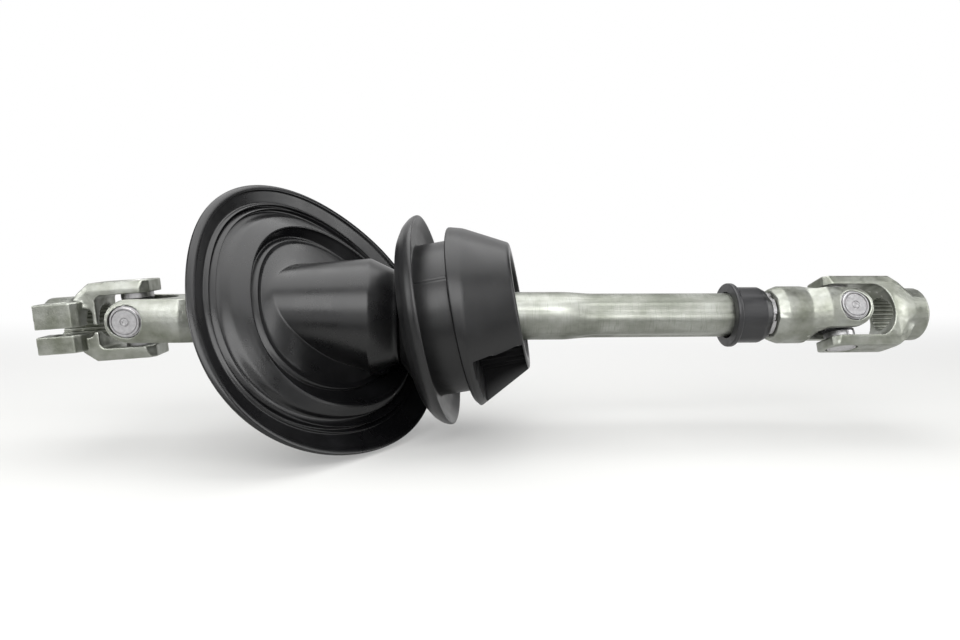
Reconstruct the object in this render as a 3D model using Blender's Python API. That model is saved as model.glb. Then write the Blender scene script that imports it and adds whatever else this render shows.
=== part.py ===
"""Steering shaft joint: a telescoping lower steering shaft with a universal joint at each end,
a pinch clamp yoke for the rack pinion, a socket yoke for the column, and the rubber floor boot
and bulkhead seal that the shaft turns in.

Metres, +Z up. +X runs along the shaft towards the steering column. The origin lies on the shaft
axis, within the groove of the seal that the bulkhead panel sits in.
"""

import math

import bmesh
import bpy
import numpy as np
from mathutils import Matrix, Vector

for leftover in list(bpy.data.objects):
    bpy.data.objects.remove(leftover, do_unlink=True)

# Clearance between neighbouring surfaces, and how far a cutter runs past what it cuts
GAP = 0.0003
OVERRUN = 0.004

# Shaft layout
LOWER_JOINT_X = -0.1676
UPPER_JOINT_X = 0.2167
UPPER_PHASE_DEG = -22.5
CLAMP_PITCH_DEG = -4.0

# Universal joint crosses and their needle bearings
CROSS_SPAN = 0.040
CUP_DIAMETER = 0.016
CUP_LENGTH = 0.009
CUP_WALL = 0.0007
CUP_FLOOR = 0.0016
CUP_RIM_WIDTH = 0.0010
CUP_FACE_RECESS = 0.0003
NEEDLE_DIAMETER = 0.0018
NEEDLE_LENGTH = 0.0062
NEEDLE_COUNT = 10
NEEDLE_CAGE_WALL = 0.0010
SEAL_RING_WIDTH = 0.0016
SEAL_RING_LIP = 0.0003
CROSS_SHOULDER_RADIUS = 0.0068

# Forged yoke at each end of the shaft
SHAFT_EAR_TIP = 0.0102
SHAFT_EAR_WIDTH = 0.0225
SHAFT_EAR_INNER = 0.013
SHAFT_FORK_DEPTH = 0.0195
SHAFT_EAR_SLOPE = 0.008
LOWER_HUB_START = 0.034
LOWER_HUB_LENGTH = 0.013
UPPER_HUB_START = 0.0215
UPPER_HUB_LENGTH = 0.0187
HUB_DIAMETER = 0.0325
HUB_SOCKET_DEPTH = 0.011
HUB_FACET_REACH = 0.0050
HUB_FACET_CUT = 0.0024

# Outer tube: round at the lower yoke, pressed into four flutes over the sliding part
TUBE_DIAMETER = 0.0264
TUBE_WALL = 0.002
FLUTED_DIAMETER = 0.0250
FLUTE_COUNT = 4
FLUTE_DEPTH = 0.0013
FLUTE_ANGLE_DEG = -29.0
FLUTE_BLEND_START = 0.0584
FLUTE_BLEND_LENGTH = 0.018

# Sliding parts of the shaft
LINER_WALL = 0.0010
LINER_LENGTH = 0.088
INNER_SHAFT_REACH = 0.086
STOP_RING_DIAMETER = 0.0250
STOP_RING_WIDTH = 0.0024

# Plastic collar on the open end of the tube
COLLAR_LENGTH = 0.0213
COLLAR_NOSE = 0.0060
COLLAR_RIM_DIAMETER = 0.0358
COLLAR_RIM_WIDTH = 0.0030
COLLAR_DIAMETER = 0.0314
COLLAR_CHAMFER = 0.0040

# Pinch clamp yoke
CLAMP_EAR_WIDTH = 0.024
CLAMP_EAR_INNER = 0.0137
CLAMP_FORK_DEPTH = 0.0170
CLAMP_WEB = 0.0022
CLAMP_WINDOW_HEIGHT = 0.0150
CLAMP_WINDOW_DEPTH = 0.0090
CLAMP_ARM_END = 0.020
CLAMP_SLOPE = 0.011
CLAMP_LENGTH = 0.0442
CLAMP_COLLAR_DIAMETER = 0.0275
CLAMP_SPLINE_DIAMETER = 0.0180
CLAMP_LUG_START = 0.0232
CLAMP_LUG_REACH = 0.0195
CLAMP_LUG_TOP = 0.0115
CLAMP_LUG_BOTTOM = -0.0140
CLAMP_SLOT_WIDTH = 0.0038
CLAMP_SLOT_CENTRE = -0.0030
PINCH_BOLT_HOLE = 0.0085
PINCH_BOLT_OFFSET = 0.0125

# Socket yoke at the column end
SOCKET_EAR_WIDTH = 0.024
SOCKET_EAR_INNER = 0.0145
SOCKET_FORK_DEPTH = 0.0275
SOCKET_ROOT_DEPTH = 0.010
SOCKET_ARM_END = 0.028
SOCKET_SLOPE = 0.0095
SOCKET_LENGTH = 0.0462
SOCKET_CORNER = 0.0045
SOCKET_CHAMFER = 0.0015
SOCKET_BOSS_DIAMETER = 0.0300
SOCKET_SPLINE_DIAMETER = 0.0190
SPLINE_TEETH = 24
SPLINE_DEPTH = 0.0008

EAR_END = 0.0096
EAR_CORNER = 0.003
EAR_CLIP = 0.0040

# Floor boot: tilted flange with stepped rings, and the sleeve along the shaft
FLANGE_X = -0.0688
FLANGE_NORMAL = Vector((0.668, -0.558, 0.493)).normalized()
FLANGE_LIFT = 0.0010
FLANGE_RADIUS = 0.0778
FLANGE_SAG = ((-0.0556, 0.0162), (-0.0136, 0.0042), (-0.0181, -0.0185), (0.0134, 0.0011))
BOOT_WALL = 0.0026
SLEEVE_BASE_HEIGHT = 0.0045
SLEEVE_HEEL = 0.0060
SLEEVE_BLEND = 0.0020
SLEEVE_BASE_RADIUS = 0.0285
SLEEVE_TOP_RADIUS = 0.0315
SLEEVE_SHOULDER_X = -0.0456
SLEEVE_END_RADIUS = 0.0252
SLEEVE_CONE_END_X = -0.0325
BOOT_END_X = -0.0300
RIM_ROLL_WIDTH = 0.0030
OUTER_BAND_WIDTH = 0.0117
OUTER_BAND_DROP = 0.0020
FIRST_RING_WIDTH = 0.0022
FIRST_RING_HEIGHT = 0.0014
MIDDLE_BAND_WIDTH = 0.0032
BROAD_RING_EDGE = 0.0006
BROAD_RING_WIDTH = 0.0062
BROAD_RING_HEIGHT = 0.0040
BROAD_RING_FALL = 0.0070
INNER_BAND_STEP = 0.0010
INNER_BAND_WIDTH = 0.0030
RING_SLOPE = 0.0010
RING_LIFT = 0.0025

# Bulkhead seal: lip flange, panel groove, band and cone, all about a leaning axis
SEAL_AXIS = Vector((0.972, -0.149, 0.182)).normalized()
LIP_RADIUS = 0.0578
LIP_DEPTH = 0.0105
LIP_BACK_RADIUS = 0.0505
LIP_SWELL = 0.0020
LIP_WALL = 0.0028
LIP_REACH = 0.0050
GROOVE_CENTRE = -0.0050
GROOVE_WIDTH = 0.0190
GROOVE_RADIUS = 0.0415
BAND_RADIUS = 0.0481
BAND_WIDTH = 0.0080
BAND_FLARE = 0.0018
CONE_END_RADIUS = 0.0341
CONE_LENGTH = 0.0233
CONE_MOUTH_RADIUS = 0.0290
CONE_MOUTH_DEPTH = 0.0080
CONE_MOUTH_DRAFT = 0.0025
SPIGOT_START_X = -0.0400
SEAL_BUSH_WALL = 0.0040
SEAL_BUSH_START_X = -0.0380
SEAL_BUSH_END_X = 0.0100
POCKET_START = 0.0020
POCKET_LENGTH = 0.0190
POCKET_WIDTH = 0.0300
POCKET_DEPTH = 0.0050
POCKET_ANGLE_DEG = -49.0

# Facets round each kind of turned form
CUP_SIDES = 18
BORE_SIDES = 24
TUBE_SIDES = 32
BOOT_SIDES = 36

COLOURS = {
    "zinc": ((0.62, 0.64, 0.58), 0.38, 1.0),
    "bearing_steel": ((0.60, 0.58, 0.60), 0.25, 1.0),
    "nylon": ((0.80, 0.78, 0.70), 0.45, 0.0),
    "black_plastic": ((0.045, 0.045, 0.050), 0.40, 0.0),
    "boot_rubber": ((0.010, 0.010, 0.011), 0.35, 0.0),
    "seal_rubber": ((0.018, 0.018, 0.019), 0.55, 0.0),
    "seal_ring": ((0.020, 0.020, 0.020), 0.60, 0.0),
}


def material(name, finish):
    """A Principled material of this name with one of the finishes above."""
    colour, roughness, metallic = COLOURS[finish]
    made = bpy.data.materials.new(name)
    made.use_nodes = True
    shader = made.node_tree.nodes["Principled BSDF"]
    shader.inputs["Base Color"].default_value = (*colour, 1.0)
    shader.inputs["Roughness"].default_value = roughness
    shader.inputs["Metallic"].default_value = metallic
    return made


def joint_frame(name, x, turn_deg=0.0, pitch_deg=0.0):
    """An empty on the shaft axis that one body's pieces hang from, turned about X or pitched about Y."""
    empty = bpy.data.objects.new(name, None)
    empty.location = (x, 0.0, 0.0)
    empty.rotation_euler = (math.radians(turn_deg), math.radians(pitch_deg), 0.0)
    empty.empty_display_size = 0.02
    bpy.context.scene.collection.objects.link(empty)
    return empty


def place(name, mesh, parent, finish=None):
    """An object of this mesh under a parent, shaded smooth but for its sharp edges."""
    obj = bpy.data.objects.new(name, mesh)
    obj.parent = parent
    bpy.context.scene.collection.objects.link(obj)
    if finish:
        obj.data.materials.append(material(name, finish))
        mesh.shade_smooth()
        mesh.set_sharp_from_angle(angle=math.radians(35.0))
    return obj


def mesh_of(name, points, faces):
    """A mesh whose faces are turned to point outwards, with any face that isn't flat split."""
    mesh = bpy.data.meshes.new(name)
    mesh.from_pydata([tuple(p) for p in points], [], faces)
    work = bmesh.new()
    work.from_mesh(mesh)
    bmesh.ops.connect_verts_nonplanar(work, angle_limit=1e-5, faces=work.faces)
    bmesh.ops.recalc_face_normals(work, faces=work.faces)
    work.to_mesh(mesh)
    work.free()
    return mesh


def skin(rings, loop=False):
    """Points and faces of a skin through rings of equal count: closed on itself, or capped at its ends."""
    count = len(rings[0])
    points = np.concatenate([np.asarray(ring, float) for ring in rings])
    faces = []
    spans = len(rings) if loop else len(rings) - 1
    for row in range(spans):
        here = row * count
        there = (row + 1) % len(rings) * count
        for i in range(count):
            j = (i + 1) % count
            faces.append((here + i, here + j, there + j, there + i))
    if not loop:
        faces.append(tuple(range(count)))
        faces.append(tuple(range(len(points) - count, len(points))))
    return points, faces


def turned(profile, sides, axis="X", loop=False):
    """A solid of revolution. The profile is (distance along the axis, radius) pairs."""
    angles = (np.arange(sides) + 0.5) * 2.0 * math.pi / sides
    order = {"X": (0, 1, 2), "Y": (1, 2, 0), "Z": (2, 0, 1)}[axis]
    rings = []
    for along, radius in profile:
        ring = np.zeros((sides, 3))
        ring[:, order[0]] = along
        ring[:, order[1]] = radius * np.cos(angles)
        ring[:, order[2]] = radius * np.sin(angles)
        rings.append(ring)
    return skin(rings, loop)


def circle(centre, normal, radius, sides):
    """Points round a circle in space. The first lies on the +Y side."""
    normal = Vector(normal).normalized()
    across = (Vector((0.0, 1.0, 0.0)) - normal.y * normal).normalized()
    rise = normal.cross(across)
    angles = np.arange(sides) * 2.0 * math.pi / sides
    return (
        np.array(centre)
        + radius * np.cos(angles)[:, None] * np.array(across)
        + radius * np.sin(angles)[:, None] * np.array(rise)
    )


def prism(outline, low, high, axis="Z"):
    """An outline of (u, v) points carried from low to high along the axis."""
    order = {"X": (1, 2, 0), "Y": (0, 2, 1), "Z": (0, 1, 2)}[axis]
    rings = []
    for along in (low, high):
        ring = np.zeros((len(outline), 3))
        ring[:, order[0]] = [u for u, v in outline]
        ring[:, order[1]] = [v for u, v in outline]
        ring[:, order[2]] = along
        rings.append(ring)
    return skin(rings)


def arc(centre_u, centre_v, radius_u, radius_v, start_deg, end_deg, steps):
    """Points along part of an ellipse, both ends included."""
    angles = np.radians(np.linspace(start_deg, end_deg, steps + 1))
    return [(centre_u + radius_u * math.cos(a), centre_v + radius_v * math.sin(a)) for a in angles]


def cut(target, name, solid, operation="DIFFERENCE"):
    """An exact Boolean of target with a hidden helper in the target's own frame."""
    helper = place(name, mesh_of(name, *solid), target.parent)
    helper.rotation_euler = target.rotation_euler
    helper.display_type = "WIRE"
    helper.hide_render = True
    modifier = target.modifiers.new(name, "BOOLEAN")
    modifier.operation = operation
    modifier.solver = "EXACT"
    modifier.object = helper


def arm_section(x, side, round_radius, corner, roundness):
    """A section across the shaft at x: a bar that is flat at +-side and reaches +-round_radius.

    Roundness 0 keeps the sides flat, and 1 makes the section a circle. The long ends are an arc
    about the shaft (corner 0) or flat with rounded corners.
    """
    meet = math.asin(min(0.999, side / round_radius))
    ends = np.linspace(-meet, meet, 9)
    flats = np.linspace(meet, math.pi - meet, 7)[1:-1]
    first = []
    for angle in ends:
        reach = round_radius
        if corner:
            across = side - abs(round_radius * math.sin(angle))
            drop = corner - math.sqrt(max(0.0, corner**2 - max(0.0, corner - across) ** 2))
            reach = (round_radius - drop) / math.cos(angle)
            reach = min(reach, side / max(1e-9, abs(math.sin(angle))))
            reach = (1.0 - roundness) * reach + roundness * round_radius
        first.append((reach * math.cos(angle), reach * math.sin(angle)))
    for angle in flats:
        reach = (1.0 - roundness) * side / math.sin(angle) + roundness * round_radius
        first.append((reach * math.cos(angle), reach * math.sin(angle)))
    half = np.array(first)
    both = np.concatenate([half, -half])
    return np.column_stack([np.full(len(both), x), both])


CUP_RADIUS = CUP_DIAMETER / 2.0
CUP_FACE = CROSS_SPAN / 2.0
CUP_MOUTH = CUP_FACE - CUP_LENGTH
CUP_BORE = CUP_RADIUS - CUP_WALL
NEEDLE_PITCH = CUP_BORE - GAP - NEEDLE_DIAMETER / 2.0
TRUNNION_RADIUS = NEEDLE_PITCH - NEEDLE_DIAMETER / 2.0 - GAP
TRUNNION_END = CUP_FACE - CUP_FLOOR - GAP
EAR_BORE = CUP_RADIUS + GAP
EAR_FACE = CUP_FACE + GAP


def bearing_cup(name, parent, axis, sign, finish="bearing_steel"):
    """A drawn needle cup: rim and recessed face outside, and the needles' bore inside."""
    face = CUP_FACE - CUP_FACE_RECESS
    floor = CUP_FACE - CUP_FLOOR
    chamfer = CUP_RIM_WIDTH / 2.0
    profile = [
        (face, CUP_RADIUS - 2.0 * CUP_RIM_WIDTH),
        (CUP_FACE, CUP_RADIUS - 2.0 * CUP_RIM_WIDTH + chamfer),
        (CUP_FACE, CUP_RADIUS - chamfer),
        (CUP_FACE - chamfer, CUP_RADIUS),
        (CUP_MOUTH, CUP_RADIUS),
        (CUP_MOUTH, CUP_BORE),
        (floor, CUP_BORE),
    ]
    solid = turned([(sign * along, radius) for along, radius in profile], CUP_SIDES, axis)
    return place(name, mesh_of(name, *solid), parent, finish)


def needle_ring(x, radius, sign):
    """Points round the needles of one bearing: sign 1 follows their outer sides, and -1 the inner ones."""
    points = []
    for needle in range(NEEDLE_COUNT):
        for share, rise in ((0.2, NEEDLE_DIAMETER / 2.0), (0.5, NEEDLE_DIAMETER / 2.0),
                            (0.85, NEEDLE_CAGE_WALL / 2.0)):
            angle = (needle + share) * 2.0 * math.pi / NEEDLE_COUNT
            reach = radius + sign * rise
            points.append((x, reach * math.cos(angle), reach * math.sin(angle)))
    return np.array(points)


def needle_cage(name, parent, axis, sign):
    """The caged needles between one cup and its trunnion."""
    end = sign * (CUP_FACE - CUP_FLOOR - GAP)
    start = end - sign * NEEDLE_LENGTH
    rings = [needle_ring(start, NEEDLE_PITCH, 1), needle_ring(end, NEEDLE_PITCH, 1),
             needle_ring(end, NEEDLE_PITCH, -1), needle_ring(start, NEEDLE_PITCH, -1)]
    shift = {"Y": 1, "Z": 2}[axis]
    rings = [np.roll(ring, shift, axis=1) for ring in rings]
    return place(name, mesh_of(name, *skin(rings, loop=True)), parent, "bearing_steel")


def cross(name, parent):
    """The forged cross: four trunnions on shoulders, as two turned bars made one."""
    shoulder = CUP_MOUTH - SEAL_RING_WIDTH - 2.0 * GAP
    half = [(shoulder, CROSS_SHOULDER_RADIUS), (shoulder, TRUNNION_RADIUS), (TRUNNION_END, TRUNNION_RADIUS)]
    profile = [(-along, radius) for along, radius in reversed(half)] + half
    made = place(name, mesh_of(name, *turned(profile, CUP_SIDES, "Y")), parent, "bearing_steel")
    cut(made, name + "_second_bar", turned(profile, CUP_SIDES, "Z"), "UNION")
    return made


def cross_seal(name, parent, axis, sign):
    """A lip seal that sits on a trunnion against the mouth of its cup."""
    low = CUP_MOUTH - GAP - SEAL_RING_WIDTH
    high = CUP_MOUTH - GAP
    inner = TRUNNION_RADIUS + GAP
    profile = [(low, inner), (low, CUP_RADIUS - SEAL_RING_LIP), (high, CUP_RADIUS), (high, inner)]
    flipped = [(sign * along, radius) for along, radius in profile]
    return place(name, mesh_of(name, *turned(flipped, CUP_SIDES, axis, loop=True)), parent, "seal_ring")


def ear_slices(length, width):
    """Distances from the ear's tip back to the cross axis, with the half width of the round end."""
    angles = np.radians([18.0, 36.0, 54.0, 72.0, 90.0])
    return [(-length * math.cos(a), width / 2.0 * math.sin(a)) for a in angles]


def octagon_reach(ring, flat, radius):
    """How far in a ring of this radius comes, point by point, for an octagon with its flats at flat."""
    angles = np.arctan2(ring[:, 2], ring[:, 1])
    from_flat = (angles + math.pi / 8.0) % (math.pi / 4.0) - math.pi / 8.0
    return np.minimum(1.0, flat / np.cos(from_flat) / radius)


def shaft_yoke(name, parent, turn_deg, hub_start, hub_length, socket_radius, facets):
    """A forged yoke whose ears stand at +-Y and whose hub takes the shaft, towards local +X."""
    side = SHAFT_EAR_WIDTH / 2.0
    hub = HUB_DIAMETER / 2.0
    slope = hub_start - SHAFT_EAR_SLOPE
    hub_end = hub_start + hub_length
    slices = ear_slices(SHAFT_EAR_TIP, SHAFT_EAR_WIDTH)
    rings = [arm_section(x, half, EAR_FACE, 0.0, 0.0) for x, half in slices]
    rings.append(arm_section(slope, side, EAR_FACE, 0.0, 0.0))
    rings.append(arm_section((slope + hub_start) / 2.0, side, (EAR_FACE + hub) / 2.0, 0.0, 0.3))
    rings.append(arm_section(hub_start, side, hub, 0.0, 1.0))
    if facets:
        rings.append(arm_section(hub_end - HUB_FACET_REACH, side, hub, 0.0, 1.0))
        end = arm_section(hub_end, side, hub, 0.0, 1.0)
        end[:, 1:] *= octagon_reach(end, hub - HUB_FACET_CUT, hub)[:, None]
        rings.append(end)
    else:
        rings.append(arm_section(hub_end, side, hub, 0.0, 1.0))
    made = place(name, mesh_of(name, *skin(rings)), parent, "zinc")
    made.rotation_euler = (0.0, 0.0, math.radians(turn_deg))
    floor = hub_end - HUB_SOCKET_DEPTH
    mouth = hub_end + OVERRUN
    cut(made, name + "_socket", turned([(floor, socket_radius), (mouth, socket_radius)], BORE_SIDES))
    inner = SHAFT_EAR_INNER
    centre = SHAFT_FORK_DEPTH - inner
    gap_outline = [(-SHAFT_EAR_TIP - OVERRUN, -inner)]
    gap_outline += arc(centre, 0.0, inner, inner, -90.0, 90.0, 12)
    gap_outline += [(-SHAFT_EAR_TIP - OVERRUN, inner)]
    cut(made, name + "_fork_gap", prism(gap_outline, -side - OVERRUN, side + OVERRUN))
    reach = EAR_FACE + OVERRUN
    cut(made, name + "_cup_bore", turned([(-reach, EAR_BORE), (reach, EAR_BORE)], BORE_SIDES, "Y"))
    return made


def fork_section(x, width, reach, corner, roundness):
    """A section of a fork whose arms stand at +-Z."""
    flat = arm_section(x, width / 2.0, reach, corner, roundness)
    return np.column_stack([flat[:, 0], -flat[:, 2], flat[:, 1]])


def ear_clip(towards, side, width, reach):
    """The cutter that takes one corner off the arms' ends at 45 degrees."""
    tip = towards * (EAR_END - EAR_CLIP - OVERRUN)
    end = towards * (EAR_END + OVERRUN)
    wide = side * (width / 2.0 + OVERRUN)
    narrow = side * (width / 2.0 - EAR_CLIP - OVERRUN)
    return prism([(tip, wide), (end, narrow), (end, wide)], -reach, reach)


def spline_bore(low, high, diameter):
    """The cutter of a splined bore along X: teeth as a square-edged wave round the circle."""
    points = []
    pitch = 2.0 * math.pi / SPLINE_TEETH
    for tooth in range(SPLINE_TEETH):
        start = (tooth + 0.3) * pitch
        for share, radius in ((0.0, 0.0), (0.38, 0.0), (0.52, SPLINE_DEPTH), (0.86, SPLINE_DEPTH)):
            angle = start + share * pitch
            reach = diameter / 2.0 - radius
            points.append((reach * math.cos(angle), reach * math.sin(angle)))
    return prism(points, low, high, "X")


def clamp_yoke(name, parent):
    """The pinch clamp yoke: arms at +-Z towards +X, and a slotted splined collar with two lugs."""
    collar = CLAMP_COLLAR_DIAMETER / 2.0
    width = CLAMP_EAR_WIDTH
    tip = EAR_END - EAR_CLIP
    slope_end = CLAMP_ARM_END + CLAMP_SLOPE
    middle = (CLAMP_ARM_END + slope_end) / 2.0
    rings = [
        fork_section(EAR_END, width, EAR_FACE, EAR_CORNER, 0.0),
        fork_section(tip, width, EAR_FACE, EAR_CORNER, 0.0),
        fork_section(-CLAMP_ARM_END, width, EAR_FACE, EAR_CORNER, 0.0),
        fork_section(-middle, width, (EAR_FACE + collar) / 2.0, EAR_CORNER, 0.4),
        fork_section(-slope_end, width, collar, EAR_CORNER, 1.0),
        fork_section(-CLAMP_LENGTH - OVERRUN, width, collar, EAR_CORNER, 1.0),
    ]
    made = place(name, mesh_of(name, *skin(rings)), parent, "zinc")
    beyond = -CLAMP_LENGTH - 2.0 * OVERRUN
    lug = [(beyond, 0.0), (beyond, -CLAMP_LUG_REACH), (-CLAMP_LUG_START - EAR_CORNER, -CLAMP_LUG_REACH),
           (-CLAMP_LUG_START, -CLAMP_LUG_REACH + EAR_CORNER), (-CLAMP_LUG_START, 0.0)]
    cut(made, name + "_lugs", prism(lug, CLAMP_LUG_BOTTOM, CLAMP_LUG_TOP), "UNION")
    wide = 2.0 * CLAMP_LUG_REACH
    trim = [(beyond - OVERRUN, -wide), (-CLAMP_LENGTH, -wide),
            (-CLAMP_LENGTH, wide), (beyond - OVERRUN, wide)]
    cut(made, name + "_end_face", prism(trim, -wide, wide))
    out = width / 2.0 + OVERRUN
    root = CLAMP_FORK_DEPTH
    inner = CLAMP_EAR_INNER
    gap_outline = [(EAR_END + OVERRUN, -inner), (EAR_END + OVERRUN, inner)]
    gap_outline += arc(-root + EAR_CORNER, inner - EAR_CORNER, EAR_CORNER, EAR_CORNER, 90.0, 180.0, 4)
    gap_outline += arc(-root + EAR_CORNER, -inner + EAR_CORNER, EAR_CORNER, EAR_CORNER, 180.0, 270.0, 4)
    cut(made, name + "_fork_gap", prism(gap_outline, -out, out, "Y"))
    reach = EAR_FACE + OVERRUN
    for sign, word in ((1.0, "front"), (-1.0, "rear")):
        cut(made, name + "_clip_" + word, ear_clip(1.0, sign, width, reach))
    cut(made, name + "_cup_bore", turned([(-reach, EAR_BORE), (reach, EAR_BORE)], BORE_SIDES, "Z"))
    bore = spline_bore(-CLAMP_LENGTH - OVERRUN, -root + OVERRUN, CLAMP_SPLINE_DIAMETER)
    cut(made, name + "_spline", bore)
    high = CLAMP_WINDOW_HEIGHT / 2.0
    near = -root - CLAMP_WEB - EAR_CORNER
    window = arc(near, high - EAR_CORNER, EAR_CORNER, EAR_CORNER, 0.0, 90.0, 4)
    window += [(-CLAMP_LUG_START, high), (-CLAMP_LUG_START, -high)]
    window += arc(near, -high + EAR_CORNER, EAR_CORNER, EAR_CORNER, 270.0, 360.0, 4)
    cut(made, name + "_window", prism(window, -out, -out + OVERRUN + CLAMP_WINDOW_DEPTH, "Y"))
    half_slot = CLAMP_SLOT_WIDTH / 2.0
    side = -CLAMP_LUG_REACH - OVERRUN
    slot = [(side, CLAMP_SLOT_CENTRE - half_slot), (0.0, CLAMP_SLOT_CENTRE - half_slot),
            (0.0, CLAMP_SLOT_CENTRE + half_slot), (side, CLAMP_SLOT_CENTRE + half_slot)]
    cut(made, name + "_slot", prism(slot, -CLAMP_LENGTH - OVERRUN, -root + OVERRUN, "X"))
    hole_x = -(CLAMP_LENGTH + CLAMP_LUG_START) / 2.0
    hole, faces = turned([(-reach, PINCH_BOLT_HOLE / 2.0), (reach, PINCH_BOLT_HOLE / 2.0)], BORE_SIDES, "Z")
    cut(made, name + "_bolt_hole", (hole + np.array((hole_x, -PINCH_BOLT_OFFSET, 0.0)), faces))
    return made


def socket_yoke(name, parent):
    """The column end: a deep round-rooted fork with arms at +-Z, and a splined boss towards +X."""
    boss = SOCKET_BOSS_DIAMETER / 2.0
    width = SOCKET_EAR_WIDTH
    slope_end = SOCKET_ARM_END + SOCKET_SLOPE
    middle = (SOCKET_ARM_END + slope_end) / 2.0
    rings = [
        fork_section(-EAR_END, width, EAR_FACE, SOCKET_CORNER, 0.0),
        fork_section(SOCKET_ARM_END, width, EAR_FACE, SOCKET_CORNER, 0.0),
        fork_section(middle, width, (EAR_FACE + boss) / 2.0, SOCKET_CORNER, 0.35),
        fork_section(slope_end, width, boss, SOCKET_CORNER, 1.0),
        fork_section(SOCKET_LENGTH - SOCKET_CHAMFER, width, boss, SOCKET_CORNER, 1.0),
        fork_section(SOCKET_LENGTH, width, boss - SOCKET_CHAMFER, SOCKET_CORNER, 1.0),
    ]
    made = place(name, mesh_of(name, *skin(rings)), parent, "zinc")
    out = width / 2.0 + OVERRUN
    inner = SOCKET_EAR_INNER
    straight = SOCKET_FORK_DEPTH - SOCKET_ROOT_DEPTH
    gap_outline = [(-EAR_END - OVERRUN, -inner)]
    gap_outline += arc(straight, 0.0, SOCKET_ROOT_DEPTH, inner, -90.0, 90.0, 14)
    gap_outline += [(-EAR_END - OVERRUN, inner)]
    cut(made, name + "_fork_gap", prism(gap_outline, -out, out, "Y"))
    reach = EAR_FACE + OVERRUN
    for sign, word in ((1.0, "front"), (-1.0, "rear")):
        cut(made, name + "_clip_" + word, ear_clip(-1.0, sign, width, reach))
    cut(made, name + "_cup_bore", turned([(-reach, EAR_BORE), (reach, EAR_BORE)], BORE_SIDES, "Z"))
    bore = spline_bore(straight, SOCKET_LENGTH + OVERRUN, SOCKET_SPLINE_DIAMETER)
    cut(made, name + "_spline", bore)
    return made


def fluted_ring(x, radius, depth, sides=TUBE_SIDES):
    """A circle with evenly spaced flutes pressed into it, narrower than the lands between them."""
    angles = np.arange(sides) * 2.0 * math.pi / sides
    phase = FLUTE_COUNT * (angles - math.radians(FLUTE_ANGLE_DEG)) / 2.0
    reach = radius - depth * np.cos(phase) ** 6
    return np.column_stack([np.full(sides, x), -reach * np.cos(angles), reach * np.sin(angles)])


def tube_walls(x, inset, steps=((0.0, 0.0), (0.5, 0.5), (1.0, 1.0))):
    """Rings through the blend from round to fluted, with each radius less the inset."""
    rings = []
    for share, blend in steps:
        radius = TUBE_DIAMETER / 2.0 + blend * (FLUTED_DIAMETER - TUBE_DIAMETER) / 2.0
        rings.append(fluted_ring(x + share * FLUTE_BLEND_LENGTH, radius - inset, blend * FLUTE_DEPTH))
    return rings


FLUTED_RADIUS = FLUTED_DIAMETER / 2.0
SEAL_BUSH_RADIUS = TUBE_DIAMETER / 2.0 + GAP + SEAL_BUSH_WALL
LOWER_HUB_END_X = LOWER_JOINT_X + LOWER_HUB_START + LOWER_HUB_LENGTH
TUBE_START_X = LOWER_HUB_END_X - HUB_SOCKET_DEPTH + GAP
UPPER_HUB_FACE_X = UPPER_JOINT_X - UPPER_HUB_START - UPPER_HUB_LENGTH
LINER_OUTER = FLUTED_RADIUS - TUBE_WALL - GAP
SHAFT_RADIUS = LINER_OUTER - LINER_WALL - GAP
SHAFT_JOURNAL = SHAFT_RADIUS - FLUTE_DEPTH
STOP_RING_X = UPPER_HUB_FACE_X - GAP - STOP_RING_WIDTH
COLLAR_END_X = STOP_RING_X - GAP
TUBE_END_X = COLLAR_END_X - COLLAR_NOSE


def outer_tube(name, parent):
    """The rolled tube, round where it is pressed into the yoke and fluted where the shaft slides."""
    outside = [fluted_ring(TUBE_START_X, TUBE_DIAMETER / 2.0, 0.0)]
    outside += tube_walls(FLUTE_BLEND_START, 0.0)
    outside += [fluted_ring(TUBE_END_X, FLUTED_RADIUS, FLUTE_DEPTH)]
    inside = [fluted_ring(TUBE_END_X, FLUTED_RADIUS - TUBE_WALL, FLUTE_DEPTH)]
    inside += reversed(tube_walls(FLUTE_BLEND_START, TUBE_WALL))
    inside += [fluted_ring(TUBE_START_X, TUBE_DIAMETER / 2.0 - TUBE_WALL, 0.0)]
    return place(name, mesh_of(name, *skin(outside + inside, loop=True)), parent, "zinc")


def tube_collar(name, parent):
    """The moulded collar over the tube's end: a rim, the fluted body and a chamfered nose."""
    start = COLLAR_END_X - COLLAR_LENGTH
    end = COLLAR_END_X
    rim = COLLAR_RIM_DIAMETER / 2.0
    body = COLLAR_DIAMETER / 2.0
    bore = FLUTED_RADIUS + GAP
    stop = TUBE_END_X + GAP
    mouth = FLUTED_RADIUS - TUBE_WALL
    rings = [
        fluted_ring(start, rim, 0.0),
        fluted_ring(start + COLLAR_RIM_WIDTH, rim, 0.0),
        fluted_ring(start + COLLAR_RIM_WIDTH + GAP, body, FLUTE_DEPTH),
        fluted_ring(end - COLLAR_CHAMFER, body, FLUTE_DEPTH),
        fluted_ring(end, body - COLLAR_CHAMFER / 2.0, FLUTE_DEPTH),
        fluted_ring(end, mouth, FLUTE_DEPTH),
        fluted_ring(stop, mouth, FLUTE_DEPTH),
        fluted_ring(stop, bore, FLUTE_DEPTH),
        fluted_ring(start, bore, FLUTE_DEPTH),
    ]
    return place(name, mesh_of(name, *skin(rings, loop=True)), parent, "black_plastic")


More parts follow.
